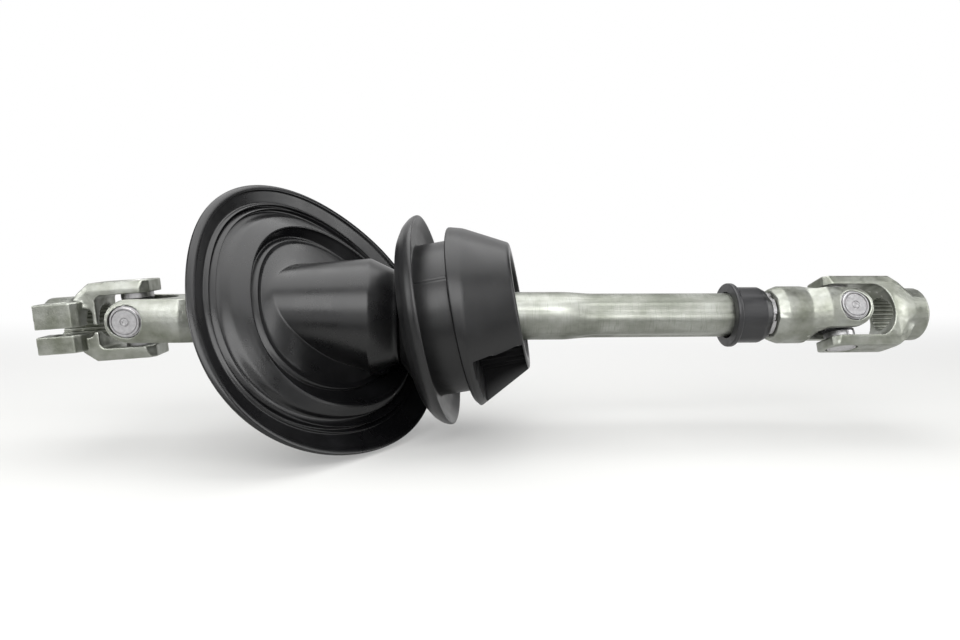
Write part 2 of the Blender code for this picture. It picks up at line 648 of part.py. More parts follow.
def tube_liner(name, parent):
    """The nylon sleeve in the tube that the inner shaft slides in."""
    start = TUBE_END_X - LINER_LENGTH
    rings = [
        fluted_ring(start, LINER_OUTER, FLUTE_DEPTH),
        fluted_ring(TUBE_END_X, LINER_OUTER, FLUTE_DEPTH),
        fluted_ring(TUBE_END_X, LINER_OUTER - LINER_WALL, FLUTE_DEPTH),
        fluted_ring(start, LINER_OUTER - LINER_WALL, FLUTE_DEPTH),
    ]
    return place(name, mesh_of(name, *skin(rings, loop=True)), parent, "nylon")


def inner_shaft(name, parent):
    """The fluted bar that slides in the tube, turned down at its end for the upper yoke."""
    start = TUBE_END_X - INNER_SHAFT_REACH
    shoulder = STOP_RING_X - GAP
    end = UPPER_HUB_FACE_X + HUB_SOCKET_DEPTH - GAP
    rings = [
        fluted_ring(start, SHAFT_RADIUS - GAP, FLUTE_DEPTH),
        fluted_ring(start + 2.0 * GAP, SHAFT_RADIUS, FLUTE_DEPTH),
        fluted_ring(shoulder, SHAFT_RADIUS, FLUTE_DEPTH),
        fluted_ring(shoulder, SHAFT_JOURNAL, 0.0),
        fluted_ring(end, SHAFT_JOURNAL, 0.0),
    ]
    return place(name, mesh_of(name, *skin(rings)), parent, "zinc")


def stop_ring(name, parent):
    """The ring on the shaft's journal that meets the collar when the shaft is fully in."""
    end = STOP_RING_X + STOP_RING_WIDTH
    outer = STOP_RING_DIAMETER / 2.0
    bore = SHAFT_JOURNAL + GAP
    profile = [(STOP_RING_X, bore), (STOP_RING_X, outer), (end, outer), (end, bore)]
    return place(name, mesh_of(name, *turned(profile, TUBE_SIDES, loop=True)), parent, "zinc")


FLANGE_CENTRE = np.array((FLANGE_X, 0.0, FLANGE_LIFT))


def flange_circle(radius, height):
    """A closed curve parallel to the floor flange, at this height above it.

    The flange has sagged out of round: each pair in FLANGE_SAG is one more wave round it, as shares of
    the radius. Inside the outer band the curves shift up the flange, the more so the smaller they are.
    """
    angles = np.arange(BOOT_SIDES) * 2.0 * math.pi / BOOT_SIDES
    swell = np.ones(BOOT_SIDES)
    for wave, (cosine, sine) in enumerate(FLANGE_SAG, 1):
        swell += cosine * np.cos(wave * angles) + sine * np.sin(wave * angles)
    inward = max(0.0, FLANGE_RADIUS - OUTER_BAND_WIDTH - radius)
    uphill = (Vector((0.0, 0.0, 1.0)) - FLANGE_NORMAL.z * FLANGE_NORMAL).normalized()
    shift = RING_LIFT * inward / (FLANGE_RADIUS - SLEEVE_BASE_RADIUS)
    centre = FLANGE_CENTRE + np.array((height / FLANGE_NORMAL.x, 0.0, 0.0)) + shift * np.array(uphill)
    return circle(centre, FLANGE_NORMAL, radius * swell[:, None], BOOT_SIDES)


def sleeve_ring(radius, height, flat_x, share):
    """A ring of the sleeve, between the slanted base at a height above the flange and a flat end.

    Where the flange's plane runs past the sleeve's cone, the base stops short of it by SLEEVE_HEEL.
    """
    ring = circle((0.0, 0.0, 0.0), (1.0, 0.0, 0.0), radius, BOOT_SIDES)
    normal = np.array(FLANGE_NORMAL)
    slanted = (height + FLANGE_CENTRE @ normal - ring[:, 1:] @ normal[1:]) / normal[0]
    limit = SLEEVE_CONE_END_X - SLEEVE_HEEL
    base = limit - SLEEVE_BLEND * np.log1p(np.exp((limit - slanted) / SLEEVE_BLEND))
    step = SLEEVE_HEEL / 4.0
    end = np.maximum(flat_x, base + step) if flat_x < limit else flat_x
    ring[:, 0] = (1.0 - share) * base + share * end
    return ring


def boot_profile():
    """(radius, height) of the flange's outside, from the rim over the two raised rings to the sleeve."""
    wall = BOOT_WALL
    radius = FLANGE_RADIUS
    profile = [(radius - wall / 2.0, -wall / 2.0), (radius, 0.0), (radius - wall / 4.0, wall / 2.0),
               (radius - RIM_ROLL_WIDTH, wall / 2.0), (radius - RIM_ROLL_WIDTH - RING_SLOPE, 0.0),
               (radius - OUTER_BAND_WIDTH, -OUTER_BAND_DROP)]
    steps = (
        (RING_SLOPE / 2.0, FIRST_RING_HEIGHT - OUTER_BAND_DROP),
        (FIRST_RING_WIDTH, FIRST_RING_HEIGHT - OUTER_BAND_DROP),
        (RING_SLOPE, -OUTER_BAND_DROP),
        (MIDDLE_BAND_WIDTH, -OUTER_BAND_DROP),
        (RING_SLOPE, BROAD_RING_EDGE),
        (BROAD_RING_WIDTH, BROAD_RING_HEIGHT),
        (BROAD_RING_FALL, 0.0),
        (RING_SLOPE, INNER_BAND_STEP),
        (INNER_BAND_WIDTH, INNER_BAND_STEP),
    )
    radius -= OUTER_BAND_WIDTH
    for width, height in steps:
        radius -= width
        profile.append((radius, height))
    return profile


def sleeve_rings(inset):
    """Rings of the sleeve from its slanted base to its end, moved in from the outside by the inset."""
    base = SLEEVE_BASE_HEIGHT - inset
    rings = []
    for share in (0.0, 0.35, 0.7, 1.0):
        radius = SLEEVE_BASE_RADIUS + share * (SLEEVE_TOP_RADIUS - SLEEVE_BASE_RADIUS) - inset
        rings.append(sleeve_ring(radius, base, SLEEVE_SHOULDER_X, share))
    rings.append(sleeve_ring(SLEEVE_END_RADIUS - inset, base, SLEEVE_CONE_END_X - inset / 2.0, 1.0))
    rings.append(sleeve_ring(SLEEVE_END_RADIUS - inset, base, BOOT_END_X, 1.0))
    return rings


def floor_boot(name, parent):
    """The moulded boot: rolled rim, stepped rings and the sleeve, as one wall of even thickness."""
    profile = boot_profile()
    outside = [flange_circle(radius, height) for radius, height in profile]
    inside = [flange_circle(radius - BOOT_WALL / 3.0, height - BOOT_WALL) for radius, height in profile[3:]]
    rings = outside + sleeve_rings(0.0) + (inside + sleeve_rings(BOOT_WALL))[::-1]
    return place(name, mesh_of(name, *skin(rings, loop=True)), parent, "boot_rubber")


def seal_circle(along, radius):
    """A circle about the seal's leaning axis."""
    return circle(np.array(SEAL_AXIS) * along, SEAL_AXIS, radius, BOOT_SIDES)


def shaft_circle(x, radius):
    """A circle about the shaft with the same number of points as the seal's."""
    return circle((x, 0.0, 0.0), (1.0, 0.0, 0.0), radius, BOOT_SIDES)


def bulkhead_seal(name, parent):
    """The moulded seal: spigot in the boot, lip flange, panel groove, band, cone and shaft bore."""
    groove_start = GROOVE_CENTRE - GROOVE_WIDTH / 2.0
    groove_end = GROOVE_CENTRE + GROOVE_WIDTH / 2.0
    band_end = groove_end + BAND_WIDTH
    cone_end = band_end + CONE_LENGTH
    cone_start = BAND_RADIUS + BAND_FLARE
    lip_edge = groove_start + LIP_REACH
    lip_back = lip_edge - LIP_DEPTH
    spigot = SLEEVE_END_RADIUS - BOOT_WALL - GAP
    shoulder_x = BOOT_END_X + GAP
    bore = SEAL_BUSH_RADIUS + GAP
    bevel = LIP_WALL / 3.0
    rings = [
        shaft_circle(SPIGOT_START_X, spigot - bevel),
        shaft_circle(SPIGOT_START_X + bevel, spigot),
        shaft_circle(shoulder_x, spigot),
        shaft_circle(shoulder_x, SLEEVE_END_RADIUS),
        seal_circle(lip_back - bevel, LIP_BACK_RADIUS - 2.0 * LIP_WALL),
        seal_circle(lip_back, LIP_BACK_RADIUS),
        seal_circle((lip_back + lip_edge) / 2.0, (LIP_BACK_RADIUS + LIP_RADIUS) / 2.0 + LIP_SWELL),
        seal_circle(lip_edge - bevel, LIP_RADIUS),
        seal_circle(lip_edge, LIP_RADIUS - bevel),
        seal_circle(groove_start + LIP_WALL / 2.0, (LIP_RADIUS + GROOVE_RADIUS) / 2.0 + LIP_SWELL),
        seal_circle(groove_start, GROOVE_RADIUS + LIP_WALL),
        seal_circle(groove_start, GROOVE_RADIUS),
        seal_circle(groove_end, GROOVE_RADIUS),
        seal_circle(groove_end, BAND_RADIUS - bevel),
        seal_circle(groove_end + bevel, BAND_RADIUS),
        seal_circle(band_end, cone_start),
        seal_circle(band_end + bevel / 2.0, cone_start - bevel),
        seal_circle(cone_end - bevel, CONE_END_RADIUS),
        seal_circle(cone_end, CONE_END_RADIUS - bevel),
        seal_circle(cone_end, CONE_MOUTH_RADIUS),
        seal_circle(cone_end - CONE_MOUTH_DEPTH, CONE_MOUTH_RADIUS - CONE_MOUTH_DRAFT),
        shaft_circle(SEAL_BUSH_END_X, bore),
        shaft_circle(SPIGOT_START_X, bore),
    ]
    made = place(name, mesh_of(name, *skin(rings, loop=True)), parent, "seal_rubber")
    middle = (cone_start + CONE_END_RADIUS) / 2.0
    lean = math.atan2(cone_start - CONE_END_RADIUS, CONE_LENGTH)
    box, faces = prism(
        [(0.0, -POCKET_WIDTH / 2.0), (POCKET_LENGTH, -POCKET_WIDTH / 2.0),
         (POCKET_LENGTH, POCKET_WIDTH / 2.0), (0.0, POCKET_WIDTH / 2.0)],
        -POCKET_DEPTH, 2.0 * POCKET_DEPTH)
    tilt = np.array(Matrix.Rotation(lean, 3, "Y"))
    box = box @ tilt.T + np.array((band_end + POCKET_START, 0.0, middle + POCKET_DEPTH / 2.0))
    spin = np.array(Matrix.Rotation(math.radians(90.0 - POCKET_ANGLE_DEG), 3, "X"))
    lean_axis = np.array(Vector((1.0, 0.0, 0.0)).rotation_difference(SEAL_AXIS).to_matrix())
    cut(made, name + "_pocket", (box @ spin.T @ lean_axis.T, faces))
    return made


def seal_bush(name, parent):
    """The plastic bush in the seal that the tube turns in."""
    bore = TUBE_DIAMETER / 2.0 + GAP
    profile = [(SEAL_BUSH_START_X, bore), (SEAL_BUSH_START_X, SEAL_BUSH_RADIUS),
               (SEAL_BUSH_END_X, SEAL_BUSH_RADIUS), (SEAL_BUSH_END_X, bore)]
    return place(name, mesh_of(name, *turned(profile, TUBE_SIDES, loop=True)), parent, "black_plastic")


bulkhead_frame = joint_frame("bulkhead_frame", 0.0)
lower_shaft_frame = joint_frame("lower_shaft_frame", LOWER_JOINT_X)
lower_cross_frame = joint_frame("lower_cross_frame", LOWER_JOINT_X, 0.0, CLAMP_PITCH_DEG)
clamp_frame = joint_frame("clamp_frame", LOWER_JOINT_X, 0.0, CLAMP_PITCH_DEG)
upper_shaft_frame = joint_frame("upper_shaft_frame", UPPER_JOINT_X, UPPER_PHASE_DEG)
upper_cross_frame = joint_frame("upper_cross_frame", UPPER_JOINT_X, UPPER_PHASE_DEG)
socket_frame = joint_frame("socket_frame", UPPER_JOINT_X, UPPER_PHASE_DEG)
spin_frame = joint_frame("spin_frame", 0.0)
slide_frame = joint_frame("slide_frame", 0.0)

floor_boot("floor_boot", bulkhead_frame)
bulkhead_seal("bulkhead_seal", bulkhead_frame)
seal_bush("seal_bush", bulkhead_frame)

shaft_yoke("lower_shaft_yoke", lower_shaft_frame, 0.0, LOWER_HUB_START, LOWER_HUB_LENGTH,
           TUBE_DIAMETER / 2.0 + GAP, False)
outer_tube("outer_tube", spin_frame)
tube_collar("tube_collar", spin_frame)
tube_liner("tube_liner", spin_frame)

inner_shaft("inner_shaft", slide_frame)
stop_ring("stop_ring", slide_frame)
shaft_yoke("upper_shaft_yoke", upper_shaft_frame, 180.0, UPPER_HUB_START, UPPER_HUB_LENGTH,
           SHAFT_JOURNAL + GAP, True)

clamp_yoke("clamp_yoke", clamp_frame)
socket_yoke("socket_yoke", socket_frame)

for end, shaft_side, cross_side, outer_side, outer in (
    ("lower", lower_shaft_frame, lower_cross_frame, clamp_frame, "clamp"),
    ("upper", upper_shaft_frame, upper_cross_frame, socket_frame, "socket"),
):
    cross(end + "_cross", cross_side)
    for word, axis, sign, owner, side in (
        ("front", "Y", -1.0, end + "_shaft", shaft_side),
        ("rear", "Y", 1.0, end + "_shaft", shaft_side),
        ("top", "Z", 1.0, outer, outer_side),
        ("bottom", "Z", -1.0, outer, outer_side),
    ):
        bearing_cup(f"{owner}_cup_{word}", side, axis, sign)
        needle_cage(f"{owner}_needles_{word}", side, axis, sign)
        cross_seal(f"{end}_cross_seal_{word}", cross_side, axis, sign)
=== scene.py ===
"""The steering shaft joint's looks: zinc-plated shaft and yokes, bearing cups, rubber boot and seal."""

import math

import bmesh
import bpy
import numpy as np
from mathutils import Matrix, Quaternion, Vector


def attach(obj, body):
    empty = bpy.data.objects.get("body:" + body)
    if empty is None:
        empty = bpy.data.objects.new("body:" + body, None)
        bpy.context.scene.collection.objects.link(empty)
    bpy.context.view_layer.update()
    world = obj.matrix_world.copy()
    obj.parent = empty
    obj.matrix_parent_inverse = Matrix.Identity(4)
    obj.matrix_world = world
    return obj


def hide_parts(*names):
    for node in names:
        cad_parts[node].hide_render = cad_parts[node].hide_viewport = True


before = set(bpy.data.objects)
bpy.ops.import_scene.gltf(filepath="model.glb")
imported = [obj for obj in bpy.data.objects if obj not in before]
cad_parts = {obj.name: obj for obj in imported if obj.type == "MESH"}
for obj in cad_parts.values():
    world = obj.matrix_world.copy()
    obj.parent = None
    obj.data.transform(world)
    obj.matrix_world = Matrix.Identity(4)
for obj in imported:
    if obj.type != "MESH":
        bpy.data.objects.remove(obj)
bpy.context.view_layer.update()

# The camera stands close in front of the shaft and a little above it, as the photographer did,
# and looks slightly down and to the right.
CAMERA_PLACE = (-0.0124, -0.3766, 0.0436)
CAMERA_AIM = Vector((0.068, 0.990, -0.1203))
CAMERA_ROLL = math.radians(0.2)
camera = bpy.data.objects.new("camera", bpy.data.cameras.new("camera"))
camera.data.sensor_width = 36.0
camera.data.lens = 25.9
camera.data.clip_start = 0.01
camera.location = CAMERA_PLACE
camera.rotation_mode = "QUATERNION"
camera.rotation_quaternion = CAMERA_AIM.to_track_quat("-Z", "Y") @ Quaternion((0.0, 0.0, 1.0), CAMERA_ROLL)
bpy.context.scene.collection.objects.link(camera)
bpy.context.scene.camera = camera
bpy.context.scene.view_settings.view_transform = "Standard"


# The studio: soft boxes overhead and high in front, a weak one at the camera's level, and one at each end.
# The sheet that the shaft is laid over runs up behind it without a corner.
def soft_box(name, place, target, width, height, power):
    """An area lamp at place that faces target."""
    lamp = bpy.data.objects.new(name, bpy.data.lights.new(name, "AREA"))
    lamp.data.shape = "RECTANGLE"
    lamp.data.size, lamp.data.size_y = width, height
    lamp.data.energy = power
    lamp.location = place
    lamp.rotation_mode = "QUATERNION"
    lamp.rotation_quaternion = (Vector(target) - Vector(place)).to_track_quat("-Z", "Y")
    bpy.context.scene.collection.objects.link(lamp)


soft_box("overhead_box", (-0.07, 0.06, 0.62), (-0.07, 0.06, 0.0), 0.90, 0.72, 7.4)
soft_box("front_box", (-0.03, -0.66, 0.46), (0.0, 0.0, 0.0), 1.0, 0.48, 8.4)
soft_box("low_front_box", (0.0, -0.85, 0.05), (0.0, 0.0, 0.0), 1.7, 0.32, 2.5)
soft_box("left_box", (-0.75, -0.22, 0.24), (0.0, 0.0, 0.0), 0.4, 0.4, 2.4)
soft_box("right_box", (0.80, -0.18, 0.26), (0.0, 0.0, 0.02), 0.38, 0.62, 3.6)


def linear(hex_colour):
    """A colour written as sRGB hex, as the linear RGBA that the nodes take."""
    code = np.array([int(hex_colour[i : i + 2], 16) for i in (1, 3, 5)]) / 255.0
    low = code / 12.92
    high = ((code + 0.055) / 1.055) ** 2.4
    return (*np.where(code <= 0.04045, low, high).tolist(), 1.0)


def add(tree, kind, inputs=None, **settings):
    """A node of this kind in the tree, with its settings, and each input as a value or a link."""
    node = tree.nodes.new(kind)
    for key, value in settings.items():
        setattr(node, key, value)
    for key, value in (inputs or {}).items():
        if isinstance(value, bpy.types.NodeSocket):
            tree.links.new(value, node.inputs[key])
        else:
            node.inputs[key].default_value = value
    return node


world = bpy.data.worlds.new("studio")
world.use_nodes = True
world.node_tree.nodes["Background"].inputs["Color"].default_value = linear("#F4F6F8")
world.node_tree.nodes["Background"].inputs["Strength"].default_value = 0.1
bpy.context.scene.world = world


def surface(name, points, loop, around=True):
    """A mesh over a grid of points: rows by columns, closed round the columns, and over the rows if loop.

    Points that fall together, as at a pole, become one.
    """
    rows, columns = points.shape[:2]
    index = np.arange(rows * columns).reshape(rows, columns)
    next_row = np.roll(index, -1, axis=0)
    next_column = np.roll(index, -1, axis=1)
    both = np.roll(next_row, -1, axis=1)
    quads = np.stack([index, next_column, both, next_row], axis=-1)
    quads = quads[: rows if loop else rows - 1, : columns if around else columns - 1].reshape(-1, 4)
    mesh = bpy.data.meshes.new(name)
    mesh.vertices.add(rows * columns)
    mesh.vertices.foreach_set("co", points.astype(np.float32).ravel())
    mesh.loops.add(quads.size)
    mesh.loops.foreach_set("vertex_index", quads.astype(np.int32).ravel())
    mesh.polygons.add(len(quads))
    mesh.polygons.foreach_set("loop_start", np.arange(0, quads.size, 4, dtype=np.int32))
    mesh.update(calc_edges=True)
    work = bmesh.new()
    work.from_mesh(mesh)
    bmesh.ops.remove_doubles(work, verts=work.verts, dist=1e-6)
    bmesh.ops.recalc_face_normals(work, faces=work.faces)
    work.to_mesh(mesh)
    work.free()
    mesh.shade_smooth()
    piece = bpy.data.objects.new(name, mesh)
    bpy.context.scene.collection.objects.link(piece)
    return piece


FLOOR_HEIGHT = -0.0685
SHEET_COLOUR = "#BCBCBA"
SHEET_FRONT = -0.22
SHEET_TOP = 1.9
SHEET_SIDES = (-1.2, 1.55)
BEND_START = 0.9
BEND_RADIUS = 0.5
sweep = np.radians(np.linspace(0.0, 90.0, 13))[1:]
sheet_y = np.concatenate([[SHEET_FRONT, BEND_START], BEND_START + BEND_RADIUS * np.sin(sweep),
                          [BEND_START + BEND_RADIUS]])
sheet_z = np.concatenate([[0.0, 0.0], BEND_RADIUS - BEND_RADIUS * np.cos(sweep), [SHEET_TOP]]) + FLOOR_HEIGHT
sheet_x = np.array(SHEET_SIDES)
sheet_points = np.stack(np.broadcast_arrays(sheet_x[None, :], sheet_y[:, None], sheet_z[:, None]), axis=-1)
sheet = surface("studio_sheet", sheet_points, loop=False, around=False)
paper = bpy.data.materials.new("matt white paper")
paper.use_nodes = True
tree = paper.node_tree
tree.nodes.clear()
path = add(tree, "ShaderNodeLightPath")
seen = add(tree, "ShaderNodeMath", {0: path.outputs["Is Camera Ray"], 1: path.outputs["Is Glossy Ray"]},
           operation="ADD")
seen = add(tree, "ShaderNodeMath", {0: seen.outputs[0], 1: path.outputs["Is Transmission Ray"]},
           operation="ADD", use_clamp=True)
spot = add(tree, "ShaderNodeTexCoord")
spot = add(tree, "ShaderNodeSeparateXYZ", {0: spot.outputs["Object"]})
distance = add(tree, "ShaderNodeMapRange", {"Value": spot.outputs["Y"], "From Min": -0.05, "From Max": 0.6,
                                            "To Min": 0.25, "To Max": 1.0}, interpolation_type="SMOOTHSTEP")
share = add(tree, "ShaderNodeMath", {0: seen.outputs[0], 1: distance.outputs[0]}, operation="MULTIPLY")
matt = add(tree, "ShaderNodeBsdfDiffuse", {"Color": linear(SHEET_COLOUR)})
glow = add(tree, "ShaderNodeEmission", {"Color": linear("#FFFFFF"), "Strength": 1.0})
both = add(tree, "ShaderNodeMixShader", {0: share.outputs[0], 1: matt.outputs[0], 2: glow.outputs[0]})
add(tree, "ShaderNodeOutputMaterial", {"Surface": both.outputs[0]})
sheet.data.materials.append(paper)


# The outer tube is a rolled steel tube, zinc plated after it was pressed into four flutes at the sliding
# end. Its round end is pushed into the lower yoke and welded. Its outside has a turn of its own, because
# the photograph shows the flutes at another angle than the CAD's.
TUBE_START = -0.1313
TUBE_END = 0.1675
TUBE_RADIUS = 0.0132
FLUTED_RADIUS = 0.0125
TUBE_WALL = 0.002
FLUTE_DEPTH = 0.0013
FLUTE_TURN = math.radians(-29.0)
OUTSIDE_TURN = math.radians(21.0)
FLUTE_START = 0.0584
FLUTE_FULL = 0.0764
TUBE_STEP = 0.004


def fluted(x, radius, depth, turn, columns=160):
    """Rings about the shaft with four flutes: radius less depth times cos(2(angle - turn))^6."""
    given = (x, radius, depth)
    x, radius, depth = (np.atleast_1d(np.asarray(value, float))[:, None] for value in given)
    angle = np.arange(columns)[None, :] * 2.0 * math.pi / columns
    reach = radius - depth * np.cos(2.0 * (angle - turn)) ** 6
    return np.stack(np.broadcast_arrays(x, -reach * np.cos(angle), reach * np.sin(angle)), axis=-1)


def filled(rings, step, loop):
    """Rows between rings: each span is divided evenly, so that no step along it is over the given one."""
    rings = np.asarray(rings, float)
    ahead = np.roll(rings, -1, axis=0) if loop else rings[1:]
    here = rings if loop else rings[:-1]
    spans = np.linalg.norm(ahead - here, axis=-1).max(axis=1)
    counts = np.maximum(1, np.ceil(spans / np.broadcast_to(step, spans.shape))).astype(int)
    pieces = [low + (high - low) * (np.arange(count) / count)[:, None, None]
              for low, high, count in zip(here, ahead, counts)]
    rows = np.concatenate(pieces)
    return rows if loop else np.concatenate([rows, rings[-1:]])


blend_share = np.linspace(0.0, 1.0, 13)
blend_ease = blend_share**2 * (3.0 - 2.0 * blend_share)
blend_x = FLUTE_START + blend_share * (FLUTE_FULL - FLUTE_START)
outside_x = np.concatenate([[TUBE_START], blend_x, [TUBE_END]])
outside_blend = np.concatenate([[0.0], blend_ease, [1.0]])
outside_radius = TUBE_RADIUS + outside_blend * (FLUTED_RADIUS - TUBE_RADIUS)
tube_outside = fluted(outside_x, outside_radius, outside_blend * FLUTE_DEPTH, OUTSIDE_TURN)
tube_inside = fluted(outside_x, outside_radius - TUBE_WALL, outside_blend * FLUTE_DEPTH, FLUTE_TURN)[::-1]
tube_rows = filled(np.concatenate([tube_outside, tube_inside]), TUBE_STEP, loop=True)
outer_tube = surface("rolled_outer_tube", tube_rows, loop=True)
outer_tube.data.set_sharp_from_angle(angle=math.radians(50.0))


def finish_of(name, colour, roughness, metallic=0.0, **sockets):
    """A material with a Principled shader, and its tree and shader to build on."""
    made = bpy.data.materials.new(name)
    made.use_nodes = True
    shader = made.node_tree.nodes["Principled BSDF"]
    shader.inputs["Base Color"].default_value = linear(colour)
    shader.inputs["Roughness"].default_value = roughness
    shader.inputs["Metallic"].default_value = metallic
    for key, value in sockets.items():
        shader.inputs[key].default_value = value
    return made, made.node_tree, shader


def grain(tree, stretch, scale, detail=4.0, roughness=0.55):
    """A noise on object coordinates in metres, stretched by three factors, whose grains are 1/scale wide."""
    place = add(tree, "ShaderNodeTexCoord")
    spread = add(tree, "ShaderNodeMapping", {"Vector": place.outputs["Object"], "Scale": stretch})
    return add(tree, "ShaderNodeTexNoise", {"Vector": spread.outputs[0], "Scale": scale, "Detail": detail,
                                            "Roughness": roughness})


def ramp(tree, factor, stops):
    """A colour ramp over the factor: (place, hex) stops."""
    node = add(tree, "ShaderNodeValToRGB", {"Fac": factor})
    node.color_ramp.elements[0].position = stops[0][0]
    node.color_ramp.elements[1].position = stops[-1][0]
    for place, _ in stops[1:-1]:
        node.color_ramp.elements.new(place)
    for element, (_, colour) in zip(node.color_ramp.elements, stops):
        element.color = linear(colour)
    return node


def spread_of(tree, factor, low, high, start=0.3, end=0.7):
    """The factor from start to end, mapped onto low to high."""
    return add(tree, "ShaderNodeMapRange", {"Value": factor, "From Min": start, "From Max": end,
                                            "To Min": low, "To Max": high})


# Zinc plate on rolled steel: the rolls leave long faint streaks, handling leaves duller patches, and
# turning in the bush has left fine dark rubs round it.
rolled_zinc, tree, shader = finish_of("zinc plate on rolled steel", "#868881", 0.42, 1.0)
streaks = grain(tree, (30.0, 1000.0, 1000.0), 0.9)
patches = grain(tree, (40.0, 60.0, 60.0), 1.2)
rubs = grain(tree, (2600.0, 120.0, 120.0), 1.0, detail=2.0)
tint = ramp(tree, patches.outputs["Fac"], [(0.34, "#6C6F66"), (0.50, "#868881"), (0.66, "#999B95")])
rub_share = spread_of(tree, rubs.outputs["Fac"], 0.0, 0.40, 0.56, 0.68)
rubbed = add(tree, "ShaderNodeMix", {0: rub_share.outputs[0], 6: tint.outputs[0], 7: linear("#63665D")},
             data_type="RGBA")
tree.links.new(rubbed.outputs[2], shader.inputs["Base Color"])
dull = spread_of(tree, streaks.outputs["Fac"], 0.34, 0.54)
tree.links.new(dull.outputs[0], shader.inputs["Roughness"])
bump = add(tree, "ShaderNodeBump", {"Height": streaks.outputs["Fac"], "Distance": 0.00004, "Strength": 0.5})
tree.links.new(bump.outputs[0], shader.inputs["Normal"])
outer_tube.data.materials.append(rolled_zinc)
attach(outer_tube, "lower_shaft")
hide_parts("outer_tube")


# The four yokes are drop forgings: the lower and upper shaft yokes, the pinch clamp yoke and the socket
# yoke. Trimmed, bored and broached, then shot blasted and zinc plated, so their edges are soft.
FORGED_CELL = 0.00045
YOKE_PASSES = 7


def forged(node, name, passes):
    """A copy of a CAD node with its edges worn round: even small cells over it, then averaged."""
    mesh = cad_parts[node].data.copy()
    mesh.name = name
    mesh.materials.clear()
    work = bmesh.new()
    work.from_mesh(mesh)
    bmesh.ops.remove_doubles(work, verts=work.verts, dist=1e-6)
    bmesh.ops.recalc_face_normals(work, faces=work.faces)
    work.to_mesh(mesh)
    work.free()
    piece = bpy.data.objects.new(name, mesh)
    bpy.context.scene.collection.objects.link(piece)
    cells = piece.modifiers.new("cells", "REMESH")
    cells.mode = "VOXEL"
    cells.voxel_size = FORGED_CELL
    worn = piece.modifiers.new("worn", "SMOOTH")
    worn.factor = 0.5
    worn.iterations = passes
    shaped = bpy.data.meshes.new_from_object(piece.evaluated_get(bpy.context.evaluated_depsgraph_get()))
    piece.modifiers.clear()
    piece.data = shaped
    shaped.shade_smooth()
    return piece


# Zinc plate on a shot-blasted forging: a fine pitted grain and random patches of tone. Sharp edges are
# painted lighter, partly wear from handling and partly a painted highlight, and painted shade, a dull
# yellow-green, darkens the hollows.
forged_zinc, tree, shader = finish_of("zinc plate on a blasted forging", "#888A82", 0.42, 1.0)
blast = grain(tree, (1.0, 1.0, 1.0), 1500.0, detail=3.0)
scale_marks = grain(tree, (1.0, 1.0, 1.0), 260.0, detail=5.0, roughness=0.6)
film = grain(tree, (1.0, 1.0, 1.0), 60.0)
edges = add(tree, "ShaderNodeNewGeometry")
tint = ramp(tree, film.outputs["Fac"], [(0.34, "#6E7166"), (0.50, "#888A82"), (0.66, "#9A9C96")])
# Sharp edges get a lighter colour: partly wear from handling, partly a painted highlight.
edge_wear_and_highlight_share = spread_of(tree, edges.outputs["Pointiness"], 0.0, 0.75, 0.51, 0.56)
edge_wear_and_highlight = add(tree, "ShaderNodeMix", {0: edge_wear_and_highlight_share.outputs[0], 6: tint.outputs[0],
                                          7: linear("#B4B7AF")}, data_type="RGBA")
# Hollows get a darker, yellow-green colour: painted shade.
hollow_shade_share = spread_of(tree, edges.outputs["Pointiness"], 0.7, 0.0, 0.44, 0.49)
hollow_shaded = add(tree, "ShaderNodeMix", {0: hollow_shade_share.outputs[0], 6: edge_wear_and_highlight.outputs[2],
                                       7: linear("#5E6154")}, data_type="RGBA")
tree.links.new(hollow_shaded.outputs[2], shader.inputs["Base Color"])
dull = spread_of(tree, scale_marks.outputs["Fac"], 0.34, 0.56)
tree.links.new(dull.outputs[0], shader.inputs["Roughness"])
coarse = add(tree, "ShaderNodeBump", {"Height": scale_marks.outputs["Fac"], "Distance": 0.00030,
                                      "Strength": 0.6})
fine = add(tree, "ShaderNodeBump", {"Height": blast.outputs["Fac"], "Distance": 0.00012, "Strength": 0.6,
                                    "Normal": coarse.outputs[0]})
tree.links.new(fine.outputs[0], shader.inputs["Normal"])

for node, name, body in (
    ("lower_shaft_yoke", "forged_lower_yoke", "lower_shaft"),
    ("upper_shaft_yoke", "forged_upper_yoke", "upper_shaft"),
    ("clamp_yoke", "forged_clamp_yoke", "clamp"),
    ("socket_yoke", "forged_socket_yoke", "socket"),
):
    yoke = forged(node, name, YOKE_PASSES)
    yoke.data.materials.append(forged_zinc)
    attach(yoke, body)
    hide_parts(node)


# The two crosses are forged and case hardened, with ground trunnions that turn in the cups' needles.
# They are left bare and oiled, which gives a smoother skin than the plate's.
CROSS_PASSES = 5
bare_steel, tree, shader = finish_of("oiled case-hardened steel", "#8A888A", 0.30, 1.0)
skin_marks = grain(tree, (1.0, 1.0, 1.0), 320.0)
tint = ramp(tree, skin_marks.outputs["Fac"], [(0.35, "#6F6D70"), (0.65, "#98969A")])
tree.links.new(tint.outputs[0], shader.inputs["Base Color"])
dull = spread_of(tree, skin_marks.outputs["Fac"], 0.24, 0.42)
tree.links.new(dull.outputs[0], shader.inputs["Roughness"])
for node, name, body in (("lower_cross", "forged_lower_cross", "lower_cross"),
                         ("upper_cross", "forged_upper_cross", "upper_cross")):
    cross = forged(node, name, CROSS_PASSES)
    cross.data.materials.append(bare_steel)
    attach(cross, body)
    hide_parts(node)


